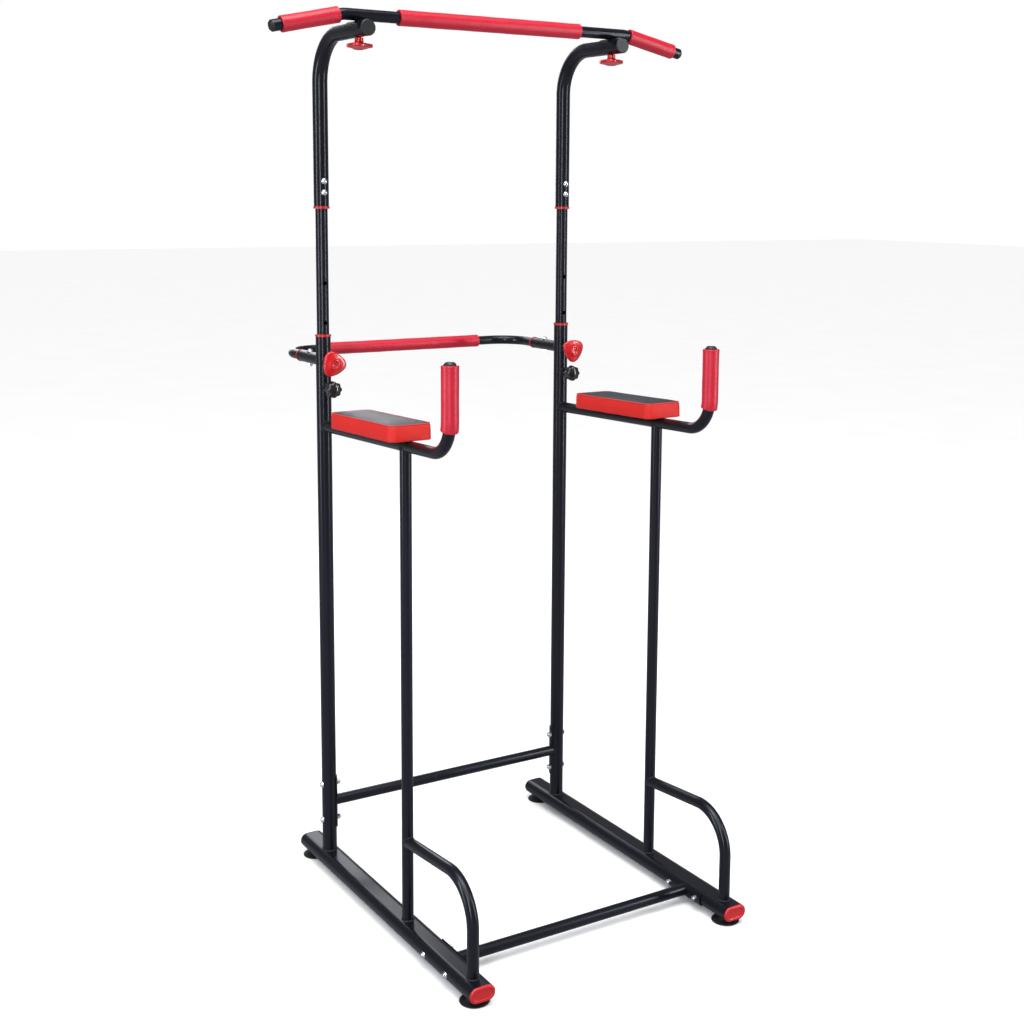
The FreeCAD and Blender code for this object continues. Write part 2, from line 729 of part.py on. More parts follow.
# ================================================================ crossbars
rear_plate_centre = on_upright(rail_top + rear_crossbar_height)
front_plate_centre = Vector(-half + rail_round_offset, front_crossbar_y, rail_middle)
rear_plate_outer = post_radius + seat_clearance + plate_thickness
front_plate_outer = rail_round + seat_clearance + plate_thickness


def end_plate(centre, along, inner_radius, bolt_points):
    """Rolled plate that seats on a round side, drilled for two bolts."""
    shape = curved_plate(centre, X_AXIS, along, inner_radius + seat_clearance, plate_thickness,
                         plate_half_angle, plate_length)
    for point in bolt_points:
        shape = shape.cut(rod(point, point + X_AXIS * post_diameter, bolt_hole))
    return shape


def crossbar(plate_centre, plate_outer, along):
    """Tube from side to side, coped to the plates at both ends."""
    left = Vector(plate_centre)
    right = Vector(-plate_centre.x, plate_centre.y, plate_centre.z)
    shape = tube(left, right, tube_diameter, tube_wall)
    for centre in (left, right):
        cutter = rod(centre - along * plate_length, centre + along * plate_length,
                     2 * (plate_outer + seat_clearance))
        shape = shape.cut(cutter)
    return shape.Solids[0]


rear_bolt_points = [on_upright(z) for z in rear_bolt_zs]
front_bolt_points = [Vector(front_plate_centre.x, y, rail_middle) for y in front_bolt_ys]
nodes["rear_crossbar"] = crossbar(rear_plate_centre, rear_plate_outer, Z_AXIS)
nodes["front_crossbar"] = crossbar(front_plate_centre, front_plate_outer, Y_AXIS)
keep_group("crossbar_plates", [end_plate(rear_plate_centre, Z_AXIS, post_radius, rear_bolt_points),
                               end_plate(front_plate_centre, Y_AXIS, rail_round, front_bolt_points)])

rear_seats = [point - X_AXIS * post_radius for point in rear_bolt_points]
front_seats = [Vector(-half - rail_width / 2.0, y, rail_middle) for y in front_bolt_ys]
rear_grip = post_radius + rear_plate_outer
front_grip = rail_width / 2.0 + rail_round_offset + front_plate_outer
crossbar_bolts = [bolt(seat, X_AXIS, rear_grip) for seat in rear_seats]
crossbar_bolts += [bolt(seat, X_AXIS, front_grip) for seat in front_seats]
frame_nuts = [nut(seat + X_AXIS * rear_grip, X_AXIS) for seat in rear_seats]
frame_nuts += [nut(seat + X_AXIS * front_grip, X_AXIS) for seat in front_seats]


# ================================================================ rear bar and its sleeves
sleeve_start = Vector(-half, upright_y, rear_bar_z)
sleeve_mouth = sleeve_start + Y_AXIS * sleeve_reach
sleeve_bolt_top = sleeve_start + Y_AXIS * sleeve_bolt_reach + Z_AXIS * (sleeve_diameter / 2.0)


def drilled_for_sleeve_bolt(shape):
    """Cuts the hole, from top to bottom, of the bolt that holds the rear bar in its left sleeve."""
    top = sleeve_bolt_top + Z_AXIS * sleeve_diameter
    return shape.cut(rod(top, top - Z_AXIS * (3 * sleeve_diameter), bolt_hole))


def rear_bar_sleeve():
    """Stub coped on to the back of the upright."""
    shape = tube(sleeve_start, sleeve_mouth, sleeve_diameter, sleeve_wall)
    return drilled_for_sleeve_bolt(shape.cut(upright_cutter).Solids[0])


def sleeve_ring():
    """Plastic ring on the sleeve's mouth, round the rear bar."""
    return tube(sleeve_mouth, sleeve_mouth + Y_AXIS * sleeve_ring_width, sleeve_ring_diameter,
                (sleeve_ring_diameter - rear_bar_diameter) / 2.0 - seat_clearance)


def rear_bar():
    """U-shaped bar behind the uprights, its legs inside the sleeves."""
    leg_start = sleeve_mouth - Y_AXIS * rear_bar_insertion
    left_corner = Vector(-half, rear_bar_y, rear_bar_z)
    right_corner = Vector(half, rear_bar_y, rear_bar_z)
    corners = [leg_start, left_corner, right_corner, Vector(half, leg_start.y, rear_bar_z)]
    shape = bent_tube(corners, rear_bar_bend, rear_bar_diameter, tube_wall)
    shape = drilled_for_sleeve_bolt(shape)
    return mirrored(drilled_for_sleeve_bolt(mirrored(shape)))


keep_pair("rear_bar_sleeve", rear_bar_sleeve())
keep_group("sleeve_rings", [sleeve_ring()])
nodes["rear_bar"] = rear_bar()
nodes["rear_bar_foam"] = foam_sleeve(Vector(-rear_bar_foam_half, rear_bar_y, rear_bar_z),
                                     Vector(rear_bar_foam_half, rear_bar_y, rear_bar_z),
                                     rear_bar_foam_diameter, rear_bar_diameter)
keep_group("sleeve_bolts", [bolt(sleeve_bolt_top, DOWN, sleeve_diameter)])
frame_nuts.append(nut(sleeve_bolt_top + DOWN * sleeve_diameter, DOWN))
keep_group("crossbar_bolts", crossbar_bolts)
keep_group("frame_nuts", frame_nuts)


# ================================================================ bosses on the uprights
def boss(z, length):
    """Threaded bush welded to the front of the upright."""
    foot = on_upright(z)
    face = foot + FRONT * (post_radius + length)
    shape = rod(foot, face, boss_diameter).cut(rod(foot, face, stud_hole))
    return shape.cut(upright_cutter).Solids[0]


keep_group("post_bosses", [boss(lock_z, lock_boss_length), boss(clamp_z, clamp_boss_length)])


# ================================================================ knobs
def three_lobed_plate(base, outward, turn):
    """Rounded triangle with softened faces: three lobe arcs, and between them three wide arcs.

    A wide arc's centre is on the far side of the plate's, so it meets both lobes smoothly.  The turn
    is in degrees, from +X to a lobe, seen from outside.
    """
    flatness = knob_side_flatness
    far_reach = math.sqrt(1.0 + flatness + flatness * flatness)
    lobe_offset = (knob_span - 2 * knob_lobe_radius) / (1.0 - flatness + far_reach)
    side_radius = lobe_offset * far_reach + knob_lobe_radius
    meeting = math.degrees(math.atan2(flatness * math.sin(math.radians(60)),
                                      1.0 + flatness * math.cos(math.radians(60))))
    other = outward.cross(X_AXIS)

    def at(centre, radius, degrees):
        angle = math.radians(degrees)
        return centre + X_AXIS * (radius * math.cos(angle)) + other * (radius * math.sin(angle))

    edges = []
    for lobe in (turn, turn + 120, turn + 240):
        lobe_centre = at(base, lobe_offset, lobe)
        side_centre = at(base, lobe_offset * flatness, lobe + 240)
        next_centre = at(base, lobe_offset, lobe + 120)
        lobe_end = at(lobe_centre, knob_lobe_radius, lobe + meeting)
        next_start = at(next_centre, knob_lobe_radius, lobe + 120 - meeting)
        edges.append(Part.Arc(at(lobe_centre, knob_lobe_radius, lobe - meeting),
                              at(lobe_centre, knob_lobe_radius, lobe), lobe_end).toShape())
        edges.append(Part.Arc(lobe_end, at(side_centre, side_radius, lobe + 60),
                              next_start).toShape())
    outline = Part.Wire(Part.__sortEdges__(edges))
    plate = Part.Face(outline).extrude(outward * knob_plate_thickness)
    return plate.makeFillet(knob_edge_round, flat_rims(plate, outward))


def flat_rims(plate, outward):
    """Edges that lie flat in the two faces square to the outward direction."""
    rims = []
    for edge in plate.Edges:
        first, last = edge.Vertexes[0].Point, edge.Vertexes[-1].Point
        if abs((last - first).dot(outward)) < 0.01:
            rims.append(edge)
    return rims


def three_lobed_knob(hub_face, outward, turn):
    """Hand knob: a round hub against its seat, then the lobed plate, domed and with a round recess."""
    plate_base = hub_face + outward * knob_hub_length
    plate_face = plate_base + outward * knob_plate_thickness
    hub = rod(hub_face, plate_base + outward * (knob_plate_thickness / 2.0), knob_hub_diameter)
    plate = three_lobed_plate(plate_base, outward, turn)
    dome = domed_head(plate_face, outward, knob_dome_diameter, knob_dome)
    dome_top = plate_face + outward * knob_dome
    recess = rod(dome_top - outward * knob_recess_depth, dome_top, knob_recess_diameter)
    return plate.fuse([hub, dome]).cut(recess).removeSplitter().Solids[0]


def keep_knobs(name, turns, finished):
    """Keeps a left and a right knob, each turned its own way; a turn's mirror image is taken first."""
    nodes[name + "_left"] = finished(turns[0])
    nodes[name + "_right"] = mirrored(finished(180.0 - turns[1]))


def star_knob(hub_face, outward):
    """Lobed clamp knob: a disc with round grooves cut in its edge, a hub behind and a dome in front."""
    body_base = hub_face + outward * star_hub_length
    body = rod(body_base, body_base + outward * star_thickness, star_diameter)
    side = X_AXIS
    other = outward.cross(side)
    for lobe in range(star_lobes):
        angle = 2.0 * math.pi * lobe / star_lobes
        centre = (body_base + side * (star_diameter / 2.0 * math.cos(angle))
                  + other * (star_diameter / 2.0 * math.sin(angle)))
        body = body.cut(rod(centre, centre + outward * star_thickness, star_groove_diameter))
    hub = rod(hub_face, body_base, star_hub_diameter)
    dome_diameter = star_diameter - 2 * star_groove_diameter
    dome = domed_head(body_base + outward * star_thickness, outward, dome_diameter, star_dome)
    return body.fuse([hub, dome]).removeSplitter().Solids[0]


lock_boss_face = on_upright(lock_z) + FRONT * (post_radius + lock_boss_length)
lock_hub_face = lock_boss_face + FRONT * (pin_travel + slide_clearance)
pin_tip = on_upright(lock_z) + FRONT * (post_radius - pin_parked_clearance)
pin_end = lock_hub_face + FRONT * pin_socket_depth
pin_socket = rod(lock_hub_face, pin_end, stud_diameter + 2 * seat_clearance)
keep_knobs("lock_knob", lock_knob_turns,
           lambda turn: three_lobed_knob(lock_hub_face, FRONT, turn).cut(pin_socket))
keep_pair("lock_pin", rod(pin_tip, pin_end, stud_diameter))

clamp_hub_face = on_upright(clamp_z) + FRONT * (post_radius + clamp_boss_length + star_gap)
clamp_tip = on_upright(clamp_z) + FRONT * (mast_diameter / 2.0 + clamp_parked_clearance)
clamp_stud = rod(clamp_tip, clamp_hub_face, stud_diameter)
keep_pair("clamp_knob", star_knob(clamp_hub_face, FRONT).fuse(clamp_stud).removeSplitter())

bar_knob_face = Vector(-half, bar_y, gooseneck_z - post_radius - slide_clearance)
bar_stud_top = Vector(-half, bar_y, gooseneck_z + saddle_outer + bar_stud_rise)
bar_stud = rod(bar_knob_face, bar_stud_top, stud_diameter)
keep_knobs("bar_knob", bar_knob_turns,
           lambda turn: three_lobed_knob(bar_knob_face, DOWN, turn).fuse(bar_stud).removeSplitter())


# ================================================================ output
os.makedirs("parts", exist_ok=True)
for name, shape in nodes.items():
    shape.exportStep(os.path.join("parts", name + ".step"))
    print(f"{name}: {len(shape.Solids)} solid(s), valid {shape.isValid()}")
print(len(nodes), "nodes")
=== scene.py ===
"""Looks of the power tower: finishes for the steel frame, and modelled foam, pads, knobs and feet.

Metres, in the frame of the CAD model: +Z up, +X to the right, -Y to the front.
"""
import json
import math

import bmesh
import bpy
import numpy as np
from mathutils import Matrix, Vector


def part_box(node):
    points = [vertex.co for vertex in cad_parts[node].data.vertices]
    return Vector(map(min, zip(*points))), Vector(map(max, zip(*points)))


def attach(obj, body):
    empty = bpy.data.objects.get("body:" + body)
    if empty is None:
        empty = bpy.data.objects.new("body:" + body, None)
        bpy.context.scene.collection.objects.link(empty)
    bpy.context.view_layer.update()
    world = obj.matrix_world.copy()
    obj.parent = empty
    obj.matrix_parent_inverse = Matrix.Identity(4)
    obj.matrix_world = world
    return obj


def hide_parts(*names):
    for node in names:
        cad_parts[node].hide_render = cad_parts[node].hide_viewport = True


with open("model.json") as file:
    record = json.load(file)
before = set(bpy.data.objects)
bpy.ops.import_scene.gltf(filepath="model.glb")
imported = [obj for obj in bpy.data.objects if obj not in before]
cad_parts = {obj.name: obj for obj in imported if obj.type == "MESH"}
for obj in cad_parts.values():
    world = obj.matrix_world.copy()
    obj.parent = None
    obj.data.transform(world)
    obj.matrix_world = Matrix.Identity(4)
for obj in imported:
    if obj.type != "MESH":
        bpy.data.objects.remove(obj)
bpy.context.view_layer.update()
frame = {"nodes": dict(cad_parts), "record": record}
nodes = frame["nodes"]

MM = 0.001
SIDES = (("left", -1.0), ("right", 1.0))

X, Y, Z = 0, 1, 2

# ---------------------------------------------------------------- sizes shared with the CAD model
TUBE_RADIUS = 14.0 * MM
REAR_BAR_RADIUS = 12.5 * MM
BOSS_RADIUS = 10.0 * MM
STUD_RADIUS = 5.0 * MM
ARM_Z = 1197.0 * MM            # the arm's axis at the upright
ARM_SLOPE = math.atan(0.037)
ARM_BEND = 80.0 * MM
PAD_LENGTH = 346.0 * MM
PAD_WIDTH = 114.0 * MM
PAD_CORNER = 22.0 * MM
PAD_REAR = 151.0 * MM          # upright axis to the pad's rear end
PAD_LOW = 14.05 * MM           # arm's axis up to the pad's underside
BOARD_TOP = 9.0 * MM           # pad's underside up to the top of its board
BOARD_INSET = 7.0 * MM
WING_ANGLE = math.radians(12.3)
WING_CORNER = 400.0 * MM       # middle of the bar to the corner of its wing
WING_FOAM_START = 13.0 * MM
WING_FOAM_LENGTH = 146.0 * MM
ARCH_Y = -504.0 * MM
ARCH_Z = 249.0 * MM            # the arch's axis at the front post
ARCH_RISE = 0.08               # its rise for each length forwards


# ---------------------------------------------------------------- sizes taken from the frame
def middle(node, axis):
    """Middle of a CAD node's box along one axis."""
    low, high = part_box(node)
    return (low[axis] + high[axis]) / 2.0


def half_size(node, axis):
    """Half of a CAD node's size along one axis."""
    low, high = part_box(node)
    return (high[axis] - low[axis]) / 2.0


HALF = -middle("upright_left", X)                    # middle of the tower to an upright's axis
POST_Y = middle("upright_left", Y)
POST_RADIUS = half_size("upright_left", X)
RAIL_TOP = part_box("base_rail_left")[1].z
RAIL_RADIUS = half_size("base_rail_left", Z)
RAIL_MIDDLE = middle("base_rail_left", Z)
RAIL_HALF_WIDTH = half_size("base_rail_left", X)
GOOSENECK_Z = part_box("gooseneck_left")[1].z - POST_RADIUS
GRIP_LOW, GRIP_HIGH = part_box("dip_grip_left")
HANDLE_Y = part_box("dip_arm_plugs")[0].y + TUBE_RADIUS
FRONT_POST_Y = middle("front_post_left", Y)
BAR_Y = middle("bar_centre_foam", Y)
BAR_Z = middle("bar_centre_foam", Z)


# ================================================================ shader maths
class Value:
    """A number socket that does its own arithmetic: each expression adds its Math nodes."""

    def __init__(self, finish, socket):
        self.finish = finish
        self.socket = socket

    def math(self, operation, *others):
        node = self.finish.add("ShaderNodeMath", {"operation": operation},
                               dict(enumerate((self, *others))))
        return Value(self.finish, node.outputs[0])

    def __add__(self, other):
        return self.math("ADD", other)

    def __radd__(self, other):
        return self.math("ADD", other)

    def __sub__(self, other):
        return self.math("SUBTRACT", other)

    def __rsub__(self, other):
        return (self * -1.0).math("ADD", other)

    def __mul__(self, other):
        return self.math("MULTIPLY", other)

    def __rmul__(self, other):
        return self.math("MULTIPLY", other)

    def __pow__(self, other):
        return self.math("POWER", other)

    def smooth(self, low, high):
        """0 below low, 1 above high, and a smooth step between."""
        node = self.finish.add("ShaderNodeMapRange", {"interpolation_type": "SMOOTHSTEP"},
                               {"Value": self, "From Min": low, "From Max": high})
        return Value(self.finish, node.outputs[0])


class Finish:
    """One material. add() makes any node; the other calls are short forms of it."""

    def __init__(self, name, **constants):
        self.material = bpy.data.materials.new(name)
        self.material.use_nodes = True
        self.tree = self.material.node_tree
        self.shader = self.tree.nodes["Principled BSDF"]
        for socket, value in constants.items():
            self.shader.inputs[socket.replace("_", " ")].default_value = value
        self.place = self.add("ShaderNodeTexCoord").outputs["Object"]

    def add(self, kind, settings=None, inputs=None):
        """A node of a kind: settings are set first, then its sockets are given values or links."""
        node = self.tree.nodes.new(kind)
        for key, value in (settings or {}).items():
            setattr(node, key, value)
        for key, value in (inputs or {}).items():
            socket = node.inputs[key]
            if isinstance(value, Value):
                value = value.socket
            if isinstance(value, bpy.types.NodeSocket):
                self.tree.links.new(value, socket)
            else:
                socket.default_value = value
        return node

    def stretched(self, scale):
        """The place with each axis multiplied, for patterns drawn out along one axis."""
        node = self.add("ShaderNodeMapping", {"vector_type": "POINT"},
                        {"Vector": self.place, "Scale": scale})
        return node.outputs[0]

    def noise(self, scale, detail=2.0, roughness=0.5, place=None):
        node = self.add("ShaderNodeTexNoise", None,
                        {"Vector": place or self.place, "Scale": scale, "Detail": detail,
                         "Roughness": roughness})
        return Value(self, node.outputs[0])

    def cells(self, scale, feature="F1", place=None):
        node = self.add("ShaderNodeTexVoronoi", {"feature": feature},
                        {"Vector": place or self.place, "Scale": scale})
        return Value(self, node.outputs["Distance"])

    def wave(self, scale, direction, distortion):
        """Bands across one axis, bent by noise."""
        node = self.add("ShaderNodeTexWave", {"wave_type": "BANDS", "bands_direction": direction},
                        {"Vector": self.place, "Scale": scale, "Distortion": distortion,
                         "Detail": 2.0})
        return Value(self, node.outputs["Fac"])

    def blend(self, factor, first, second):
        """Colour between two colours, by a factor."""
        node = self.add("ShaderNodeMix", {"data_type": "RGBA"}, {"Factor": factor})
        for socket, colour in (("A", first), ("B", second)):
            target = [item for item in node.inputs if item.name == socket and item.type == "RGBA"][0]
            if isinstance(colour, bpy.types.NodeSocket):
                self.tree.links.new(colour, target)
            else:
                target.default_value = colour
        return [item for item in node.outputs if item.type == "RGBA"][0]

    def bump(self, height, distance, strength=1.0, under=None):
        inputs = {"Height": height, "Distance": distance, "Strength": strength}
        if under is not None:
            inputs["Normal"] = under
        return self.add("ShaderNodeBump", None, inputs).outputs["Normal"]

    def surface(self, **sockets):
        """Feeds the shader's sockets, and hands back the material."""
        for name, value in sockets.items():
            socket = self.shader.inputs[name.replace("_", " ")]
            self.tree.links.new(value.socket if isinstance(value, Value) else value, socket)
        return self.material


def rgb(red, green, blue):
    """Display colour, 0 to 255, as linear light."""
    channels = np.array((red, green, blue)) / 255.0
    linear = np.where(channels <= 0.04045, channels / 12.92, ((channels + 0.055) / 1.055) ** 2.4)
    return (*linear.tolist(), 1.0)


# ================================================================ finishes
def powder_coat(name):
    """Satin black powder coat: a slight blue cast, fine orange peel and faint handling marks."""
    finish = Finish(name, Specular_IOR_Level=0.12, Specular_Tint=rgb(214, 222, 255), Coat_Roughness=0.2)
    drift = finish.noise(4.0, 3.0)
    peel = finish.noise(420.0, 2.0)
    grit = finish.noise(1800.0, 1.0)
    marks = finish.noise(30.0, 6.0, 0.7, finish.stretched((1.0, 1.0, 0.25))).smooth(0.58, 0.78)
    colour = finish.blend(drift, rgb(8, 8, 13), rgb(14, 15, 24))
    colour = finish.blend(marks * 0.25, colour, rgb(50, 52, 62))
    shape = finish.bump(peel, 0.00022, 0.55)
    return finish.surface(Base_Color=colour, Roughness=0.3 + 0.07 * drift + 0.16 * marks,
                          Coat_Weight=0.45 - 0.2 * marks,
                          Normal=finish.bump(grit, 0.00006, 0.4, shape))


def weld():
    """Painted-over weld: the powder coat lies thinner on the ripples and looks a little greyer."""
    finish = Finish("weld_black", Specular_IOR_Level=0.35)
    drift = finish.noise(120.0, 3.0)
    colour = finish.blend(drift, rgb(18, 19, 23), rgb(34, 35, 42))
    return finish.surface(Base_Color=colour, Roughness=0.42 + 0.1 * drift,
                          Normal=finish.bump(finish.noise(900.0, 2.0), 0.0002, 0.6))


def foam():
    """Red closed-cell foam rubber: matt skin with fine pores darkened at their bottoms by painted shade, and
    a soft pinkish sheen.
    """
    finish = Finish("foam_red", Sheen_Weight=0.06, Sheen_Roughness=0.4,
                    Sheen_Tint=rgb(255, 150, 170), Specular_IOR_Level=0.5)
    drift = finish.noise(14.0, 4.0, 0.6)
    pores = finish.cells(1300.0)
    skin = finish.noise(230.0, 3.0, 0.6)
    colour = finish.blend(drift, rgb(180, 10, 36), rgb(202, 20, 50))
    # painted shade: the red darkens towards rgb(120, 14, 28) at the bottom of each pore
    colour = finish.blend((1.0 - pores) ** 6.0 * 0.5, colour, rgb(120, 14, 28))
    shape = finish.bump(skin, 0.0003, 0.3)
    return finish.surface(Base_Color=colour, Roughness=0.32 + 0.1 * drift,
                          Normal=finish.bump(pores, 0.00015, 0.45, shape))


def vinyl(name, dark, light, roughness, gloss):
    """Leather-grained vinyl: small cells with creases between them darkened by painted shade, over soft
    folds.
    """
    finish = Finish(name, Specular_IOR_Level=gloss)
    drift = finish.noise(22.0, 4.0, 0.6)
    grain = finish.cells(560.0, "DISTANCE_TO_EDGE").smooth(0.02, 0.3)
    fine = finish.noise(1500.0, 2.0)
    folds = finish.noise(45.0, 2.0, 0.5, finish.stretched((1.0, 1.0, 2.4)))
    colour = finish.blend(drift, dark, light)
    # painted shade: the colour darkens to 0.55 of the dark colour in the creases between the grain's cells
    colour = finish.blend((1.0 - grain) * 0.4, colour, tuple(0.55 * part for part in dark[:3]) + (1.0,))
    shape = finish.bump(folds, 0.0012, 0.25)
    shape = finish.bump(grain, 0.00025, 0.5, shape)
    return finish.surface(Base_Color=colour, Roughness=roughness + 0.1 * (1.0 - grain) + 0.05 * drift,
                          Normal=finish.bump(fine, 0.00006, 0.3, shape))


def moulded(name, dark, light, roughness, coat, texture=0.00012):
    """Moulded plastic: a slight flow drift, a fine spark texture and a polished skin."""
    finish = Finish(name, Coat_Roughness=0.12, Specular_IOR_Level=0.5)
    drift = finish.noise(35.0, 3.0)
    spark = finish.noise(1400.0, 2.0)
    scuffs = finish.noise(160.0, 5.0, 0.7).smooth(0.6, 0.75)
    colour = finish.blend(drift, dark, light)
    return finish.surface(Base_Color=colour, Roughness=roughness + 0.06 * drift + 0.12 * scuffs,
                          Coat_Weight=coat - 0.5 * coat * scuffs,
                          Normal=finish.bump(spark, texture, 0.4))


def zinc():
    """Bright zinc plate: bluish silver with a faint cloudiness and turned marks."""
    finish = Finish("zinc_bright", Metallic=1.0)
    cloud = finish.noise(130.0, 4.0, 0.6)
    marks = finish.noise(900.0, 3.0, 0.6)
    colour = finish.blend(cloud, rgb(196, 202, 212), rgb(238, 240, 244))
    return finish.surface(Base_Color=colour, Roughness=0.16 + 0.16 * cloud,
                          Normal=finish.bump(marks, 0.00008, 0.35))


def rubber():
    """Black moulded rubber with a dusty bloom in its hollows."""
    finish = Finish("rubber_black", Specular_IOR_Level=0.4)
    bloom = finish.noise(60.0, 5.0, 0.65)
    colour = finish.blend(bloom.smooth(0.45, 0.8) * 0.5, rgb(15, 15, 17), rgb(46, 46, 50))
    return finish.surface(Base_Color=colour, Roughness=0.5 + 0.25 * bloom,
                          Normal=finish.bump(finish.noise(900.0, 2.0), 0.00018, 0.5))


def plywood():
    """Birch plywood: long grain on the faces, with darker glue lines between the plies."""
    finish = Finish("plywood", Specular_IOR_Level=0.3)
    grain = finish.noise(90.0, 4.0, 0.6, finish.stretched((1.0, 0.06, 1.0)))
    plies = finish.wave(220.0, "Z", 1.5)
    colour = finish.blend(grain, rgb(150, 112, 74), rgb(196, 160, 116))
    colour = finish.blend(plies * 0.25, colour, rgb(96, 66, 40))
    return finish.surface(Base_Color=colour, Roughness=0.62 + 0.15 * grain,
                          Normal=finish.bump(grain, 0.0002, 0.5))


FINISHES = {
    "frame_black": powder_coat("powder_coat_black"),
    "foam_red": foam(),
    "pad_vinyl": vinyl("vinyl_red", rgb(206, 24, 17), rgb(228, 36, 27), 0.42, 0.36),
    "cap_red": moulded("cap_red", rgb(172, 10, 16), rgb(192, 18, 24), 0.38, 0.1),
    "knob_red": moulded("knob_red", rgb(182, 4, 10), rgb(202, 10, 18), 0.26, 0.5),
    "knob_black": moulded("knob_black", rgb(10, 10, 13), rgb(18, 18, 22), 0.2, 0.5, 0.00003),
    "plug_black": moulded("plug_black", rgb(9, 9, 11), rgb(17, 17, 20), 0.4, 0.0, 0.0001),
    "zinc_steel": zinc(),
    "foot_rubber": rubber(),
    "plywood": plywood(),
}
WELD = weld()
# The black vinyl's colour is its own dark grey, lifted to a blue-grey as a painted sheen of the bright sky on
# the pad tops.
VINYL_BLACK = vinyl("vinyl_black", rgb(36, 38, 46), rgb(54, 56, 66), 0.36, 0.6)
THREAD = moulded("thread_red", rgb(190, 60, 56), rgb(224, 96, 90), 0.6, 0.0)
WELT = vinyl("welt_red", rgb(206, 44, 40), rgb(226, 66, 58), 0.38, 0.5)

for part in frame["record"]["subparts"]:
    mesh = nodes[part["node"]].data
    mesh.materials.clear()
    mesh.materials.append(FINISHES[part["material_slot"]])


# ================================================================ surfaces
def grid_faces(rows, columns, wrap_rows=False, wrap_columns=True, first=0):
    """Quads between neighbouring points of a grid, each direction closed on itself if wrapped."""
    row = np.arange(rows if wrap_rows else rows - 1)[:, None]
    column = np.arange(columns if wrap_columns else columns - 1)[None, :]
    next_row, next_column = (row + 1) % rows, (column + 1) % columns
    corners = [row * columns + column, row * columns + next_column,
               next_row * columns + next_column, next_row * columns + column]
    return np.stack(corners, -1).reshape(-1, 4) + first


def new_object(name, data):
    """An object of some data, in the scene."""
    item = bpy.data.objects.new(name, data)
    bpy.context.scene.collection.objects.link(item)
    return item


def clean(mesh, merge=0.0):
    """Merges points closer than a distance, if one is given, and turns the faces outwards."""
    work = bmesh.new()
    work.from_mesh(mesh)
    if merge:
        bmesh.ops.remove_doubles(work, verts=work.verts, dist=merge)
        bmesh.ops.dissolve_degenerate(work, edges=work.edges, dist=1e-7)
    bmesh.ops.recalc_face_normals(work, faces=work.faces)
    work.to_mesh(mesh)
    work.free()
    mesh.shade_smooth()


def shown_piece(name, mesh, body, replaced=(), smooth_levels=0):
    """An object of a mesh, told its body and the CAD nodes that it replaces."""
    piece = new_object(name, mesh)
    if smooth_levels:
        modifier = piece.modifiers.new("smooth", "SUBSURF")
        modifier.levels = modifier.render_levels = smooth_levels
    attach(piece, body)
    if replaced:
        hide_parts(*replaced)
    return piece


def finished_piece(name, grids, material, body, replaced=(), smooth_levels=0):
    """A piece from one or more grids of points, each (points, wrap_rows, wrap_columns)."""
    vertices, faces, first = [], [], 0
    for points, wrap_rows, wrap_columns in grids:
        rows, columns = points.shape[:2]
        vertices.append(points.reshape(-1, 3))
        faces.append(grid_faces(rows, columns, wrap_rows, wrap_columns, first))
        first += rows * columns
    mesh = bpy.data.meshes.new(name)
    mesh.from_pydata(np.concatenate(vertices).tolist(), [], np.concatenate(faces).tolist())
    clean(mesh, 1e-6)
    mesh.materials.append(material)
    return shown_piece(name, mesh, body, replaced, smooth_levels)


def turned_piece(name, grid, body, slot, replaced=(), smooth_levels=0):
    """A piece from one grid that closes on itself across its rows, in its slot's own finish."""
    return finished_piece(name, [(grid, False, True)], FINISHES[slot], body, replaced, smooth_levels)


def turns(count, start=0.0):
    """Evenly spaced angles round a full circle."""
    return start + np.linspace(0.0, 2.0 * np.pi, count, endpoint=False)


def lathe(profile, centre, axis, around=48, outline=None):
    """Grid of a turned shape: point = centre + axis * height + radius * (cos t * side + sin t * other).

    The profile is rows of (height, radius, lobing). A row's radius is multiplied by
    1 + lobing * (outline(t) - 1), so lobing 0 is a circle and 1 the full lobed outline.
    """
    profile = np.array(profile, float)
    axis = np.array(axis, float)
    side = np.array((1.0, 0.0, 0.0)) if abs(axis[0]) < 0.5 else np.array((0.0, 0.0, 1.0))
    other = np.cross(axis, side)
    angle = turns(around)
    lobes = np.ones(around) if outline is None else outline(angle)
    radius = profile[:, 1:2] * (1.0 + profile[:, 2:3] * (lobes[None, :] - 1.0))
    spokes = np.cos(angle)[:, None] * side + np.sin(angle)[:, None] * other
    return (np.array(centre)[None, None, :] + axis * profile[:, 0][:, None, None]
            + radius[:, :, None] * spokes[None, :, :])


def line_normals(points, plane_normal):
    """In-plane normal at each point of a line that lies in one plane."""
    tangent = np.gradient(points, axis=0)
    tangent /= np.linalg.norm(tangent, axis=1)[:, None]
    return np.cross(plane_normal, tangent)


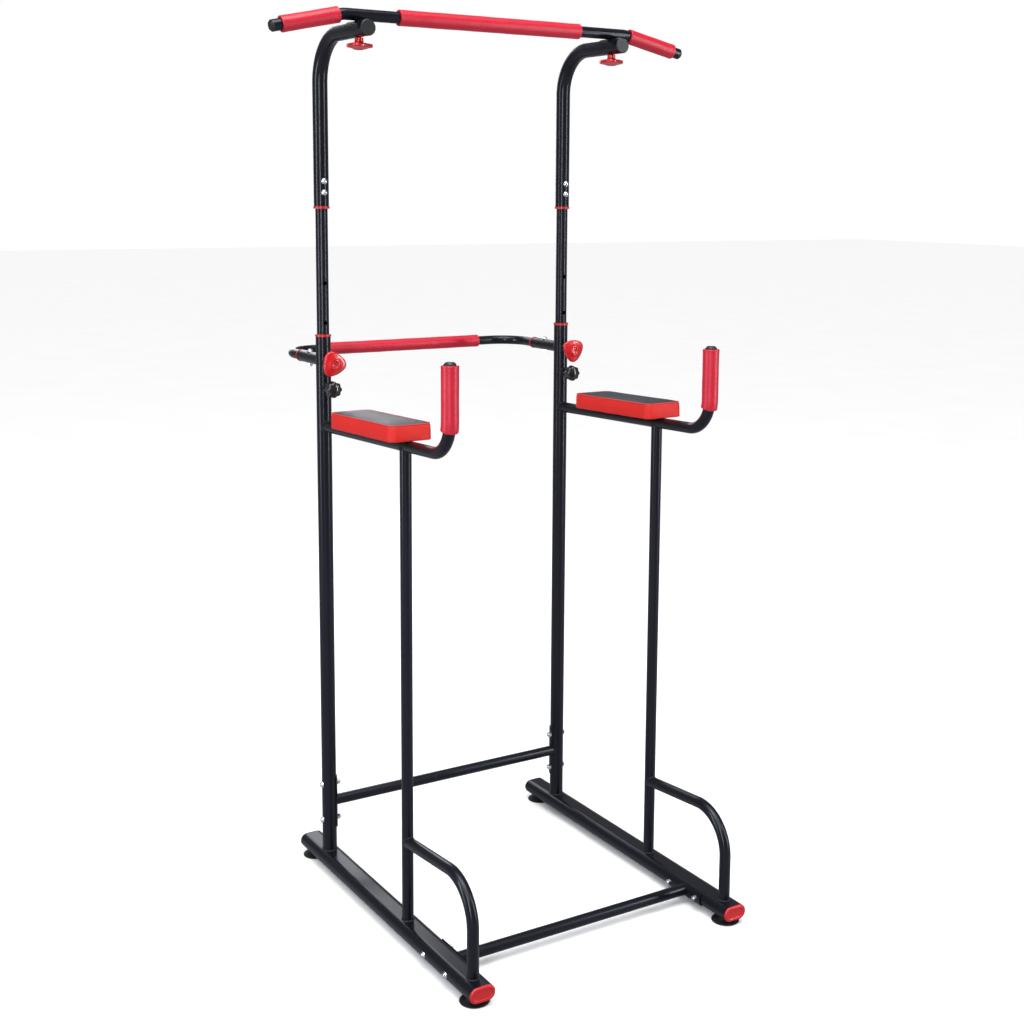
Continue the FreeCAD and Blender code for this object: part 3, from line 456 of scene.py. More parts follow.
def bent_line(corners, bend_radius=0.0, spacing=4.0 * MM):
    """Points along straight runs with an arc at each corner, at about a given spacing.

    An arc starts radius * tan(half the turn) before its corner, and its points are
    centre + radius * (cos a * outwards + sin a * heading).
    """
    corners = [np.array(corner, float) for corner in corners]
    pieces = [corners[0][None, :]]
    for before, corner, after in zip(corners, corners[1:], corners[2:]):
        heading = (corner - before) / np.linalg.norm(corner - before)
        leaving = (after - corner) / np.linalg.norm(after - corner)
        turn = math.acos(float(np.clip(heading @ leaving, -1.0, 1.0)))
        start = corner - heading * bend_radius * math.tan(turn / 2.0)
        inwards = leaving - heading * (leaving @ heading)
        inwards /= np.linalg.norm(inwards)
        centre = start + inwards * bend_radius
        angles = np.linspace(0.0, turn, max(3, int(bend_radius * turn / spacing)))[:, None]
        pieces.append(centre + bend_radius * (np.sin(angles) * heading - np.cos(angles) * inwards))
    pieces.append(corners[-1][None, :])
    rough = np.concatenate(pieces)
    lengths = np.concatenate(([0.0], np.cumsum(np.linalg.norm(np.diff(rough, axis=0), axis=1))))
    even = np.linspace(0.0, lengths[-1], max(2, int(lengths[-1] / spacing)) + 1)
    return np.stack([np.interp(even, lengths, rough[:, axis]) for axis in range(3)], -1)


def foam_grid(line, plane_normal, outside, bore, seed, around=40):
    """Grid of a foam sleeve on a line, closed through its bore.

    Outside radius = outside + slow waves along and around + a slight flare and a rounded lip at
    each end, radius - lip * (1 - sqrt(1 - (1 - s / lip) ** 2)) within one lip of the end.
    """
    normal = line_normals(line, plane_normal)
    steps = np.linalg.norm(np.diff(line, axis=0), axis=1)
    along = np.concatenate(([0.0], np.cumsum(steps)))
    length = along[-1]
    lip = 1.8 * MM
    ends = np.concatenate((lip * (1.0 - np.cos(np.linspace(0.0, np.pi / 2.0, 5))),
                           np.linspace(lip * 1.8, length - lip * 1.8, len(line)),
                           length - lip * (1.0 - np.cos(np.linspace(np.pi / 2.0, 0.0, 5)))))
    middle = np.stack([np.interp(ends, along, line[:, axis]) for axis in range(3)], -1)
    across = np.stack([np.interp(ends, along, normal[:, axis]) for axis in range(3)], -1)
    to_end = np.minimum(ends, length - ends)
    rounding = lip - np.sqrt(np.maximum(lip ** 2 - np.maximum(lip - to_end, 0.0) ** 2, 0.0))
    flare = 0.45 * MM * np.exp(-to_end / (9.0 * MM))
    angle = turns(around)
    waves = 0.1 * MM * (np.sin(ends[:, None] * 61.0 + 2.0 * angle[None, :] + seed)
                        + 0.7 * np.sin(ends[:, None] * 113.0 - angle[None, :] + 2.3 * seed)
                        + 0.6 * np.sin(ends[:, None] * 29.0 + 3.0 * angle[None, :] + 4.1 * seed))
    waves *= np.clip(to_end / (6.0 * MM), 0.0, 1.0)[:, None]
    radius = (outside + flare - rounding)[:, None] + waves
    spokes = (np.cos(angle)[None, :, None] * across[:, None, :]
              + np.sin(angle)[None, :, None] * np.array(plane_normal)[None, None, :])
    outer = middle[:, None, :] + radius[:, :, None] * spokes
    inner = middle[::-1, None, :] + bore * spokes[::-1]
    return np.concatenate((outer, inner[[0, len(inner) // 2, -1]]))


# ================================================================ foam grips
FOAM_CLEAR = 0.1 * MM          # between a tube and the bore of its foam


def foam_pieces():
    """Foam on the middle and the wings of the bar, on the dip handles and on the rear bar."""
    front, right = (0.0, -1.0, 0.0), (1.0, 0.0, 0.0)
    bar_foam = half_size("bar_centre_foam", Z)
    low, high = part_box("bar_centre_foam")
    line = bent_line([(low.x, BAR_Y, BAR_Z), (high.x, BAR_Y, BAR_Z)])
    foam_sleeve("bar_centre_grip", line, front, bar_foam, TUBE_RADIUS, 0.4, "mast", "bar_centre_foam")
    for name, side in SIDES:
        heading = np.array((side * math.cos(WING_ANGLE), 0.0, -math.sin(WING_ANGLE)))
        corner = np.array((side * WING_CORNER, BAR_Y, BAR_Z))
        line = bent_line([corner + heading * WING_FOAM_START,
                          corner + heading * (WING_FOAM_START + WING_FOAM_LENGTH)])
        foam_sleeve("bar_wing_grip_" + name, line, front, bar_foam, TUBE_RADIUS, 1.0 + side, "mast",
                    "bar_wing_foams")
        handle = handle_line(side)
        covered = handle[handle[:, 2] > GRIP_LOW.z]
        foot = covered[-1] + (handle[len(covered)] - covered[-1]) * 0.5
        foam_sleeve("dip_foam_" + name, np.concatenate((covered, foot[None, :])), right,
                    half_size("dip_grip_left", X), TUBE_RADIUS, 3.0 + side, "frame", "dip_grip_" + name)
    low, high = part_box("rear_bar_foam")
    rear_y, rear_z = middle("rear_bar_foam", Y), middle("rear_bar_foam", Z)
    line = bent_line([(low.x, rear_y, rear_z), (high.x, rear_y, rear_z)])
    foam_sleeve("rear_bar_grip", line, front, half_size("rear_bar_foam", Z), REAR_BAR_RADIUS, 5.0,
                "frame", "rear_bar_foam")


def foam_sleeve(name, line, plane_normal, outside, tube, seed, body, node):
    """Foam sleeve round a tube that follows a line, in place of its CAD solid."""
    grid = foam_grid(line, plane_normal, outside, tube + FOAM_CLEAR, seed)
    sleeve = finished_piece(name, [(grid, True, True)], FINISHES["foam_red"], body, [node])


def handle_line(side):
    """Axis of a dip handle from its cut end down through the bend, 3 mm apart."""
    corner_z = ARM_Z + math.tan(ARM_SLOPE) * (POST_Y - HANDLE_Y)
    return bent_line([(side * HALF, HANDLE_Y, GRIP_HIGH.z), (side * HALF, HANDLE_Y, corner_z),
                      (side * HALF, POST_Y, ARM_Z)], ARM_BEND, 3.0 * MM)


# ================================================================ arm pads
PAD_CELLS = (68, 22)          # cells of the cover along and across the pad, about 5 mm each
SIDE_INSET = 1.6 * MM          # the side band from the CAD outline, before it swells
SEAM_INSET = 4.6 * MM
SEAM_HEIGHT = 38.5 * MM        # pad's underside up to the seam of its top
TOP_CROWN = 4.2 * MM          # the filling's own crown, before the cover is blown tight
SIDE_HEIGHTS = (1.2, 4.0, 8.0, 12.5, 17.5, 22.5, 27.5, 32.0, 36.0, 38.0)
FRONT_SEAMS = (0.93, 0.62)    # where the two upright side seams stand, along and across
SWELL_CAP = 4.5 * MM           # how far the cover may swell
WELT_RADIUS = 1.25 * MM
WELT_OUT = 0.5 * MM            # the welt's middle from the seam
STITCH_OUT, STITCH_DROP = 2.6 * MM, 4.4 * MM         # the stitches from the seam
STITCH_LENGTH, STITCH_RADIUS = 3.4 * MM, 0.45 * MM


def border_walk():
    """Square outline -1..1 walked once round, a point to each cell of the cover's border."""
    along, across = PAD_CELLS
    right = np.linspace(-1.0, 1.0, along, endpoint=False)
    up = np.linspace(-1.0, 1.0, across, endpoint=False)
    return np.concatenate((np.stack((right, np.full(along, -1.0)), -1),
                           np.stack((np.full(across, 1.0), up), -1),
                           np.stack((-right, np.full(along, 1.0)), -1),
                           np.stack((np.full(across, -1.0), -up), -1)))


def rounded_outline(square, inset):
    """Points of the square outline carried to the pad's outline, drawn in by an inset.

    Each is scaled to the rectangle, moved to the nearest point of the rectangle less the corner
    radius, and then out from there by that radius.
    """
    half = np.array((PAD_LENGTH, PAD_WIDTH)) / 2.0 - inset
    radius = max(PAD_CORNER - inset, 4.0 * MM)
    scaled = square * half
    inner = np.clip(scaled, radius - half, half - radius)
    outwards = scaled - inner
    return inner + radius * outwards / np.linalg.norm(outwards, axis=-1, keepdims=True)


def cover_sheet(inset):
    """Even grid over the pad whose border lies on the rounded outline.

    With m the larger of |s| and |t|, a point is the rectangle's (a s, b t) less the border's own
    rounding at the same bearing times m ** 6, so that the rounding fades quickly inwards.
    """
    along, across = PAD_CELLS
    s, t = np.meshgrid(np.linspace(-1.0, 1.0, along + 1), np.linspace(-1.0, 1.0, across + 1),
                       indexing="ij")
    flat = np.stack((s, t), -1)
    level = np.maximum(np.abs(s), np.abs(t))[..., None]
    border = flat / np.maximum(level, 1e-6)
    half = np.array((PAD_LENGTH, PAD_WIDTH)) / 2.0 - inset
    rounding = border * half - rounded_outline(np.where(level > 1e-6, border, 1.0), inset)
    return flat * half - rounding * level ** 6, level[..., 0]


def pad_cover():
    """Cover of one pad before it is blown tight: points, faces, hold and face finish.

    Lengthways is x, across is y, and height is above the pad's underside. From the bottom up it is
    the pocket's ceiling over the board, the pocket's wall, the hem, the side band and the top.
    """
    walk = border_walk()
    count = len(walk)
    travel = turns(count)
    hem_wave = 0.35 * np.sin(9.0 * travel + 1.0) + 0.3 * np.sin(23.0 * travel) + 0.2 * np.sin(41.0 * travel)
    end_seam = np.abs(np.abs(walk[:, 0]) - 1.0) < 1e-6
    upright_seam = np.exp(-((np.abs(walk[:, 1]) - FRONT_SEAMS[1]) / 0.06) ** 2) * end_seam
    upright_seam += np.exp(-((np.abs(walk[:, 0]) - FRONT_SEAMS[0]) / 0.012) ** 2) * ~end_seam
    rings = [(BOARD_INSET, BOARD_TOP + 0.2 * MM, 1.0), (BOARD_INSET, 0.8 * MM, 1.0),
             (5.0 * MM, 0.1 * MM, 1.0), (2.6 * MM, 0.1 * MM, 1.0)]
    roll = SEAM_INSET - SIDE_INSET
    rings += [(SIDE_INSET + roll * (height * MM / SEAM_HEIGHT) ** 7, height * MM, 0.25 * (height < 3.0))
              for height in SIDE_HEIGHTS]
    rings += [(SEAM_INSET, SEAM_HEIGHT, 0.85)]
    points, hold = [], []
    for inset, height, held in rings:
        outline = rounded_outline(walk, inset)
        groove = upright_seam * (0.9 * MM) * (height > 1.0 * MM) * (height < SEAM_HEIGHT)
        outline = outline - outline / np.linalg.norm(outline, axis=1)[:, None] * groove[:, None]
        fade = math.exp(-(height / (3.0 * MM)) ** 2) * (inset < BOARD_INSET)
        level = height + (hem_wave + 0.85) * 0.5 * MM * fade
        points.append(np.column_stack((outline, level)))
        hold.append(np.maximum(held, 0.75 * upright_seam * (height > 1.0 * MM)))
    faces = [grid_faces(len(rings), count)]
    side_rows = count * (len(rings) - 1)
    for inset, height, crown, held in ((BOARD_INSET, BOARD_TOP + 0.2 * MM, 0.0, 1.0),
                                       (SEAM_INSET, SEAM_HEIGHT, TOP_CROWN, 0.0)):
        sheet, level = cover_sheet(inset)
        lift = crown * (1.0 - level ** 9)
        first = sum(len(block) for block in points)
        points.append(np.concatenate((sheet, (height + lift)[..., None]), -1).reshape(-1, 3))
        hold.append(np.where(level > 0.999, 0.85, held).reshape(-1))
        faces.append(grid_faces(sheet.shape[0], sheet.shape[1], False, False, first))
    finish = np.zeros(sum(len(block) for block in faces), int)
    finish[side_rows + len(faces[1]):] = 1
    return np.concatenate(points), np.concatenate(faces), np.concatenate(hold), finish


def blow_tight(piece, hold, cap):
    """Swells a cover by cloth simulation, no point moving more than about the cap."""
    group = piece.vertex_groups.new(name="held")
    for level in np.unique(hold):
        group.add(np.flatnonzero(hold == level).tolist(), float(level), "REPLACE")
    cloth = piece.modifiers.new("cover", "CLOTH")
    cloth.settings.quality = 6
    cloth.settings.mass = 0.25
    cloth.settings.tension_stiffness = 14.0
    cloth.settings.compression_stiffness = 14.0
    cloth.settings.shear_stiffness = 4.0
    cloth.settings.bending_stiffness = 2.0
    cloth.settings.shrink_min = 0.0
    cloth.settings.use_pressure = True
    cloth.settings.uniform_pressure_force = 4.0
    cloth.settings.vertex_group_mass = "held"
    cloth.settings.effector_weights.gravity = 0.0
    before = vertex_places(piece.data)
    for step in range(1, 21):
        bpy.context.scene.frame_set(step)
    after = vertex_places(piece.evaluated_get(bpy.context.evaluated_depsgraph_get()).data)
    piece.modifiers.remove(cloth)
    piece.vertex_groups.clear()
    bpy.context.scene.frame_set(1)
    move = after - before
    length = np.linalg.norm(move, axis=1)[:, None]
    move *= cap * np.tanh(length / cap) / np.maximum(length, 1e-9)
    return before + move


def vertex_places(mesh):
    places = np.empty(len(mesh.vertices) * 3)
    mesh.vertices.foreach_get("co", places)
    return places.reshape(-1, 3)


def on_arm(points, side):
    """Pad's own places laid on the arm: turned by the arm's slope and moved to its upright."""
    along = -(PAD_REAR + PAD_LENGTH / 2.0 + points[..., 0])
    across = side * points[..., 1]
    height = PAD_LOW + points[..., 2]
    return np.stack((side * HALF + across,
                     POST_Y + along * math.cos(ARM_SLOPE) + height * math.sin(ARM_SLOPE),
                     ARM_Z - along * math.sin(ARM_SLOPE) + height * math.cos(ARM_SLOPE)), -1)


def stitch_grids(places, headings, outwards, length, radius):
    """One small spindle for each stitch: radius * sin(v) ** 0.6 about a line of the given length."""
    spin = turns(6)
    v = np.linspace(0.0, np.pi, 6)
    third = np.cross(headings, outwards)
    along = -np.cos(v)[None, :, None, None] * length / 2.0 * headings[:, None, None, :]
    ring = (np.cos(spin)[None, None, :, None] * outwards[:, None, None, :]
            + np.sin(spin)[None, None, :, None] * third[:, None, None, :])
    grid = places[:, None, None, :] + along + radius * (np.sin(v) ** 0.6)[None, :, None, None] * ring
    return [(block, False, True) for block in grid]


def cover_mesh():
    """Mesh of a pad's cover before it is blown tight, and the hold at each of its vertices."""
    points, faces, hold, finish = pad_cover()
    mesh = bpy.data.meshes.new("cover")
    mesh.from_pydata(points.tolist(), [], faces.tolist())
    mesh.polygons.foreach_set("material_index", finish)
    order = mesh.attributes.new("order", "INT", "POINT")
    order.data.foreach_set("value", np.arange(len(points), dtype=np.int32))
    clean(mesh, 1e-5)
    kept = np.empty(len(mesh.vertices), np.int32)
    mesh.attributes["order"].data.foreach_get("value", kept)
    mesh.attributes.remove(mesh.attributes["order"])
    return mesh, hold[kept]


def pad_pieces():
    """Arm pads: red side band, black top, welted seam and a row of stitches under it."""
    mesh, hold = cover_mesh()
    places = vertex_places(mesh)
    trial = new_object("cover", mesh)
    places = blow_tight(trial, hold, SWELL_CAP)
    bpy.data.objects.remove(trial)
    seam = seam_line(places)
    for name, side in SIDES:
        cover = mesh.copy()
        cover.vertices.foreach_set("co", on_arm(places, side).reshape(-1))
        clean(cover)
        cover.materials.append(FINISHES["pad_vinyl"])
        cover.materials.append(VINYL_BLACK)
        pad = shown_piece("arm_cushion_" + name, cover, "frame", ["arm_pad_" + name], 1)
        trim_pieces(name, on_arm(seam, side))


def trim_pieces(name, line):
    """Welt along the seam of one pad, and the row of stitches under it."""
    heading = np.roll(line, -1, axis=0) - np.roll(line, 1, axis=0)
    heading /= np.linalg.norm(heading, axis=1)[:, None]
    upwards = np.array((0.0, math.sin(ARM_SLOPE), math.cos(ARM_SLOPE)))
    outwards = np.cross(heading, upwards)
    outwards *= np.sign((outwards * (line - line.mean(axis=0))).sum())
    outwards /= np.linalg.norm(outwards, axis=1)[:, None]
    upright = np.broadcast_to(upwards, line.shape)
    welt = bead_grid(line + WELT_OUT * outwards, outwards, upright, WELT_RADIUS)
    finished_piece("pad_welt_" + name, [(welt, True, True)], WELT, "frame")
    below = line + outwards * STITCH_OUT - upwards * STITCH_DROP
    stitches = stitch_grids(below, heading, outwards, STITCH_LENGTH, STITCH_RADIUS)
    finished_piece("pad_stitches_" + name, stitches, THREAD, "frame")


def seam_line(places):
    """The swollen seam, walked once round: at each bearing of the cover's border, its own point."""
    walk = rounded_outline(border_walk(), SEAM_INSET)
    start = np.column_stack((walk, np.full(len(walk), SEAM_HEIGHT)))
    nearest = np.linalg.norm(start[:, None, :] - places[None, :, :], axis=2).argmin(axis=1)
    return places[nearest]


def bead_grid(points, outwards, upwards, radius, around=8):
    """Round cord along a closed line: point + radius * (cos t * outwards + sin t * upwards)."""
    angle = turns(around)
    ring = (np.cos(angle)[None, :, None] * outwards[:, None, :]
            + np.sin(angle)[None, :, None] * upwards[:, None, :])
    return points[:, None, :] + radius * ring


# ================================================================ knobs
def three_lobes(turn):
    """Outline of the hand knobs: 1 + 0.1 cos 3a + 0.0135 cos 6a, a from the first lobe."""
    def outline(angle):
        lobe = angle - math.radians(turn)
        return 1.0 + 0.1 * np.cos(3.0 * lobe) + 0.0135 * np.cos(6.0 * lobe)
    return outline


def star_lobes(angle):
    """Outline of the clamp knobs: eight narrow grooves, 1 - 0.13 * ((1 - cos 8a) / 2) ** 1.3."""
    return 1.0 - 0.13 * (0.5 - 0.5 * np.cos(8.0 * angle)) ** 1.3


HAND_KNOB = (  # millimetres from the hub's face, radius, lobing
    (0.0, 0.0, 0.0), (0.0, 8.0, 0.0), (0.0, 10.2, 0.0), (0.6, 10.5, 0.0), (6.0, 10.5, 0.0),
    (10.4, 10.8, 0.0), (11.6, 12.5, 0.15), (12.2, 17.0, 0.6), (12.7, 23.0, 0.95),
    (13.4, 28.0, 1.0), (14.8, 30.0, 1.0), (17.0, 30.4, 1.0), (20.0, 30.3, 1.0), (21.8, 29.3, 1.0),
    (22.9, 27.0, 1.0), (23.6, 23.0, 0.9), (24.9, 18.5, 0.6), (26.4, 14.5, 0.25),
    (27.5, 11.8, 0.05), (27.9, 10.3, 0.0), (27.5, 9.2, 0.0), (25.6, 8.5, 0.0), (25.0, 7.6, 0.0),
    (25.0, 3.4, 0.0), (24.7, 2.7, 0.0), (22.0, 2.5, 0.0), (22.0, 0.0, 0.0))
STAR_KNOB = (
    (0.0, 0.0, 0.0), (0.0, 8.0, 0.0), (0.2, 9.7, 0.0), (1.0, 10.0, 0.0), (7.0, 10.2, 0.0),
    (9.2, 11.2, 0.05), (10.0, 14.5, 0.4), (10.4, 18.5, 0.9), (11.3, 20.8, 1.0), (13.5, 21.5, 1.0),
    (20.0, 21.5, 1.0), (27.0, 21.0, 1.0), (29.8, 19.8, 1.0), (31.6, 17.2, 0.9), (32.8, 13.6, 0.6),
    (34.3, 9.5, 0.2), (35.5, 5.0, 0.0), (36.0, 0.0, 0.0))


LOCK_TURNS = {"left": -5.0, "right": 30.0}            # degrees that each lock knob stands turned
BAR_KNOB_TURN = 4.0
HUB_GAP = 0.3 * MM            # between the gooseneck and a bar knob's hub
STUD_SUNK = 2.0 * MM          # how far each stud starts inside its knob


def stud_grid(hub, axis, length, chamfer=0.0):
    """Grid of a plain stud from inside a knob's hub along an axis, its far end chamfered."""
    profile = [(0.0, 0.0, 0.0), (0.0, STUD_RADIUS, 0.0), (length - chamfer, STUD_RADIUS, 0.0),
               (length, STUD_RADIUS - chamfer, 0.0), (length, 0.0, 0.0)]
    return lathe(profile, np.array(hub) - STUD_SUNK * np.array(axis), axis, 24)


def knob_pieces():
    """Red lock knobs and bar knobs, and black star knobs, each turned about its stud."""
    front, back, up, down = (0.0, -1.0, 0.0), (0.0, 1.0, 0.0), (0.0, 0.0, 1.0), (0.0, 0.0, -1.0)
    hand = np.array(HAND_KNOB) * (MM, MM, 1.0)
    star = np.array(STAR_KNOB) * (MM, MM, 1.0)
    for name, side in SIDES:
        x = side * HALF
        hub = (x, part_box("lock_knob_" + name)[1].y, middle("lock_pin_" + name, Z))
        turned_piece("lock_hand_knob_" + name, lathe(hand, hub, front, 72, three_lobes(LOCK_TURNS[name])),
                     "lock_pin_" + name, "knob_red", ["lock_knob_" + name], 1)
        body = node = "bar_knob_" + name
        hub = (x, BAR_Y, GOOSENECK_Z - POST_RADIUS - HUB_GAP)
        stud = stud_grid(hub, up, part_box(node)[1].z - hub[2], 0.8 * MM)
        turned_piece("bar_hand_knob_" + name, lathe(hand, hub, down, 72, three_lobes(BAR_KNOB_TURN)),
                     body, "knob_red", [node], 1)
        turned_piece("bar_knob_stud_" + name, stud, body, "zinc_steel")
        body = node = "clamp_knob_" + name
        low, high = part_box(node)
        hub = (x, low.y + star[-1, 0], middle(node, Z))
        stud = stud_grid(hub, back, high.y - hub[1] + STUD_SUNK)
        turned_piece("star_knob_" + name, lathe(star, hub, front, 96, star_lobes), body, "knob_black",
                     [node], 1)
        turned_piece("star_knob_stud_" + name, stud, body, "zinc_steel")


# ================================================================ feet and rail caps
FOOT_CUP = (  # millimetres from the floor, radius, lobing
    (2.5, 0.0, 0.0), (2.5, 14.0, 0.0), (1.6, 22.0, 0.0), (0.3, 27.0, 0.0), (0.0, 30.0, 0.0),
    (0.0, 33.5, 0.0), (0.5, 34.8, 0.0), (1.6, 35.0, 0.0), (2.6, 34.5, 0.0), (3.1, 33.0, 0.0),
    (3.4, 29.5, 0.0), (4.3, 25.0, 0.0), (6.0, 20.5, 0.0), (8.0, 17.6, 0.0), (10.0, 16.4, 0.0),
    (12.2, 16.0, 0.0), (13.2, 15.6, 0.0), (13.5, 14.4, 0.0), (13.5, 5.0, 0.0), (13.5, 0.0, 0.0))


def foot_pieces():
    """Suction cups with a beaded rim and a waisted neck, each on its levelling stud."""
    cup = np.array(FOOT_CUP) * (MM, MM, 1.0)
    for node in ("front_foot_left", "front_foot_right", "rear_foot_left", "rear_foot_right"):
        centre = (middle(node, X), middle(node, Y), 0.0)
        turned_piece(node + "_cup", lathe(cup, centre, (0.0, 0.0, 1.0), 64), node, "foot_rubber", [node], 1)
        stud = threaded(STUD_RADIUS, 12.0 * MM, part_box(node)[1].z, centre)
        turned_piece(node + "_stud", stud, node, "zinc_steel")


def threaded(radius, bottom, top, centre):
    """Grid of a threaded stud: radius - 0.35 mm * (1 + cos(2 pi z / pitch - angle)) / 2, pitch 1.5 mm."""
    pitch, around = 1.5 * MM, 20
    height = np.arange(bottom, top, pitch / 6.0)
    angle = turns(around)
    ridge = 0.5 + 0.5 * np.cos(2.0 * np.pi * height[:, None] / pitch - angle[None, :])
    ring = radius - 0.35 * MM * ridge
    ring = np.concatenate((np.zeros((1, around)), ring, np.zeros((1, around))))
    height = np.concatenate((height[:1], height, height[-1:]))
    spokes = np.stack((np.cos(angle), np.sin(angle)), -1)
    flat = ring[:, :, None] * spokes[None, :, :] + np.array(centre[:2])
    level = np.broadcast_to(height[:, None, None], (len(height), around, 1))
    return np.concatenate((flat, level), -1)


def flat_oval(straight, rows, centre_x, around=28):
    """Grid of flat-oval rings from rows of (y, radius): x = +-straight + radius cos a, z = radius sin a."""
    half_turn = np.linspace(-np.pi / 2.0, np.pi / 2.0, around)
    angle = np.concatenate((half_turn, half_turn + np.pi))
    shift = np.concatenate((np.full(around, straight), np.full(around, -straight)))
    y, radius = np.hsplit(np.array(rows, float), 2)
    x = centre_x + shift[None, :] + radius * np.cos(angle)[None, :]
    z = RAIL_MIDDLE + radius * np.sin(angle)[None, :]
    return np.stack((x, np.broadcast_to(y, x.shape), z), -1)


def cap_pieces():
    """Rail caps: a rounded rim that meets the rail, a bevel, and a shallow sunk panel."""
    straight = RAIL_HALF_WIDTH - RAIL_RADIUS
    rim = RAIL_RADIUS
    inside = rim - 2.1 * MM
    profile = ((18.0, 0.0), (18.0, inside - 1.2 * MM), (17.0, inside), (0.1, inside), (0.0, rim - 0.4 * MM),
               (-0.3, rim), (-1.6, rim), (-2.6, rim - 0.35 * MM), (-4.2, rim - 2.0 * MM),
               (-4.9, rim - 3.1 * MM), (-5.0, rim - 4.2 * MM), (-5.0, rim - 6.6 * MM),
               (-4.7, rim - 7.3 * MM), (-3.6, rim - 7.9 * MM), (-3.3, rim - 9.0 * MM), (-3.3, 0.0))
    for name, side in SIDES:
        ends = (("front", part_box("front_rail_cap_" + name)[0].y, -1.0, "front_rail_cap_" + name, "cap_red"),
                ("rear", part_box("rear_rail_caps")[1].y, 1.0, "rear_rail_caps", "plug_black"))
        for end, face_y, outward, node, slot in ends:
            seat_y = face_y - outward * 5.0 * MM
            rows = [(seat_y - outward * depth * MM, radius) for depth, radius in profile]
            grid = flat_oval(straight, rows, side * HALF)
            turned_piece(f"{end}_end_cap_{name}", grid, "frame", slot, [node])


# ================================================================ welds
WELD_LIFT = 0.3 * MM          # the bead's middle from the tubes that it joins
EQUAL_BRANCH = 0.995          # radius given to a branch as wide as its main tube, as a share of that tube's


def bead_ring(points, outwards, upwards, radius, seed):
    """Closed weld bead round a seam: a small circle swept along it, its radius
    radius * (1 + 0.13 sin(ripples * t) + 0.07 sin(3 t + seed)), one ripple about every 3 mm.
    """
    travel = turns(len(points))
    length = np.linalg.norm(points - np.roll(points, 1, axis=0), axis=1).sum()
    ripples = round(length / (3.0 * MM))
    size = radius * (1.0 + 0.13 * np.sin(ripples * travel) + 0.07 * np.sin(3.0 * travel + seed))
    return bead_grid(points, outwards, upwards, size[:, None, None])


def flat_weld(x, y, z, tube_radius, seed):
    """Bead where an upright tube stands on a flat: a circle of the tube's radius."""
    angle = turns(int(2.0 * np.pi * tube_radius / (0.5 * MM)))
    outwards = np.stack((np.cos(angle), np.sin(angle), np.zeros_like(angle)), -1)
    points = np.array((x, y, z)) + outwards * (tube_radius + WELD_LIFT)
    upwards = np.broadcast_to((0.0, 0.0, 1.0), points.shape)
    return bead_ring(points, outwards, upwards, 1.9 * MM, seed)


def saddle_weld(origin, along, across, branch, main, seed):
    """Bead where a branch tube meets the side of a main tube.

    Round the branch by angle a, with offset s = branch * sin a from the main tube's axis plane,
    the seam lies sqrt(main ** 2 - s ** 2) from the main tube's axis.
    """
    along, across = np.array(along, float), np.array(across, float)
    third = np.cross(along, across)
    angle = turns(int(2.0 * np.pi * branch / (0.5 * MM)))
    offset = (branch + WELD_LIFT) * np.sin(angle)
    reach = np.sqrt(np.maximum((main + WELD_LIFT) ** 2 - np.minimum(np.abs(offset), main) ** 2, 0.0))
    outwards = np.cos(angle)[:, None] * across + np.sin(angle)[:, None] * third
    points = np.array(origin) + reach[:, None] * along + (branch + WELD_LIFT) * outwards
    return bead_ring(points, outwards, np.broadcast_to(along, points.shape), 1.7 * MM, seed)


def weld_pieces():
    """One piece of beads for each welded joint of the side frames."""
    up, down, front, back = (0.0, 0.0, 1.0), (0.0, 0.0, -1.0), (0.0, -1.0, 0.0), (0.0, 1.0, 0.0)
    arch_line = np.array((0.0, -1.0, ARCH_RISE)) / math.hypot(1.0, ARCH_RISE)
    arm_line = np.array((0.0, -math.cos(ARM_SLOPE), math.sin(ARM_SLOPE)))
    arm_over_post = ARM_Z + math.tan(ARM_SLOPE) * (POST_Y - FRONT_POST_Y)
    equal = TUBE_RADIUS * EQUAL_BRANCH
    sleeve_radius, sleeve_z = half_size("rear_bar_sleeve_left", X), middle("rear_bar_sleeve_left", Z)
    lock_z, clamp_z = middle("lock_pin_left", Z), middle("clamp_knob_left", Z)
    for name, side in SIDES:
        x = side * HALF
        post = (x, POST_Y)
        joints = {
            "upright_foot_weld": flat_weld(*post, RAIL_TOP, POST_RADIUS, 0.3),
            "front_post_foot_weld": flat_weld(x, FRONT_POST_Y, RAIL_TOP, TUBE_RADIUS, 1.1),
            "arch_foot_weld": flat_weld(x, ARCH_Y, RAIL_TOP, TUBE_RADIUS, 2.2),
            "arm_weld": saddle_weld((*post, ARM_Z), arm_line, up, TUBE_RADIUS, POST_RADIUS, 0.9),
            "arch_weld": saddle_weld((x, FRONT_POST_Y, ARCH_Z), arch_line, up, equal, TUBE_RADIUS, 1.7),
            "front_post_head_weld": saddle_weld((x, FRONT_POST_Y, arm_over_post), down, front, equal,
                                                TUBE_RADIUS, 2.9),
            "sleeve_weld": saddle_weld((*post, sleeve_z), back, up, sleeve_radius, POST_RADIUS, 3.7),
            "lock_boss_weld": saddle_weld((*post, lock_z), front, up, BOSS_RADIUS, POST_RADIUS, 4.1),
            "clamp_boss_weld": saddle_weld((*post, clamp_z), front, up, BOSS_RADIUS, POST_RADIUS, 5.3),
        }
        for joint, grid in joints.items():
            finished_piece(f"{joint}_{name}", [(grid, True, True)], WELD, "frame")


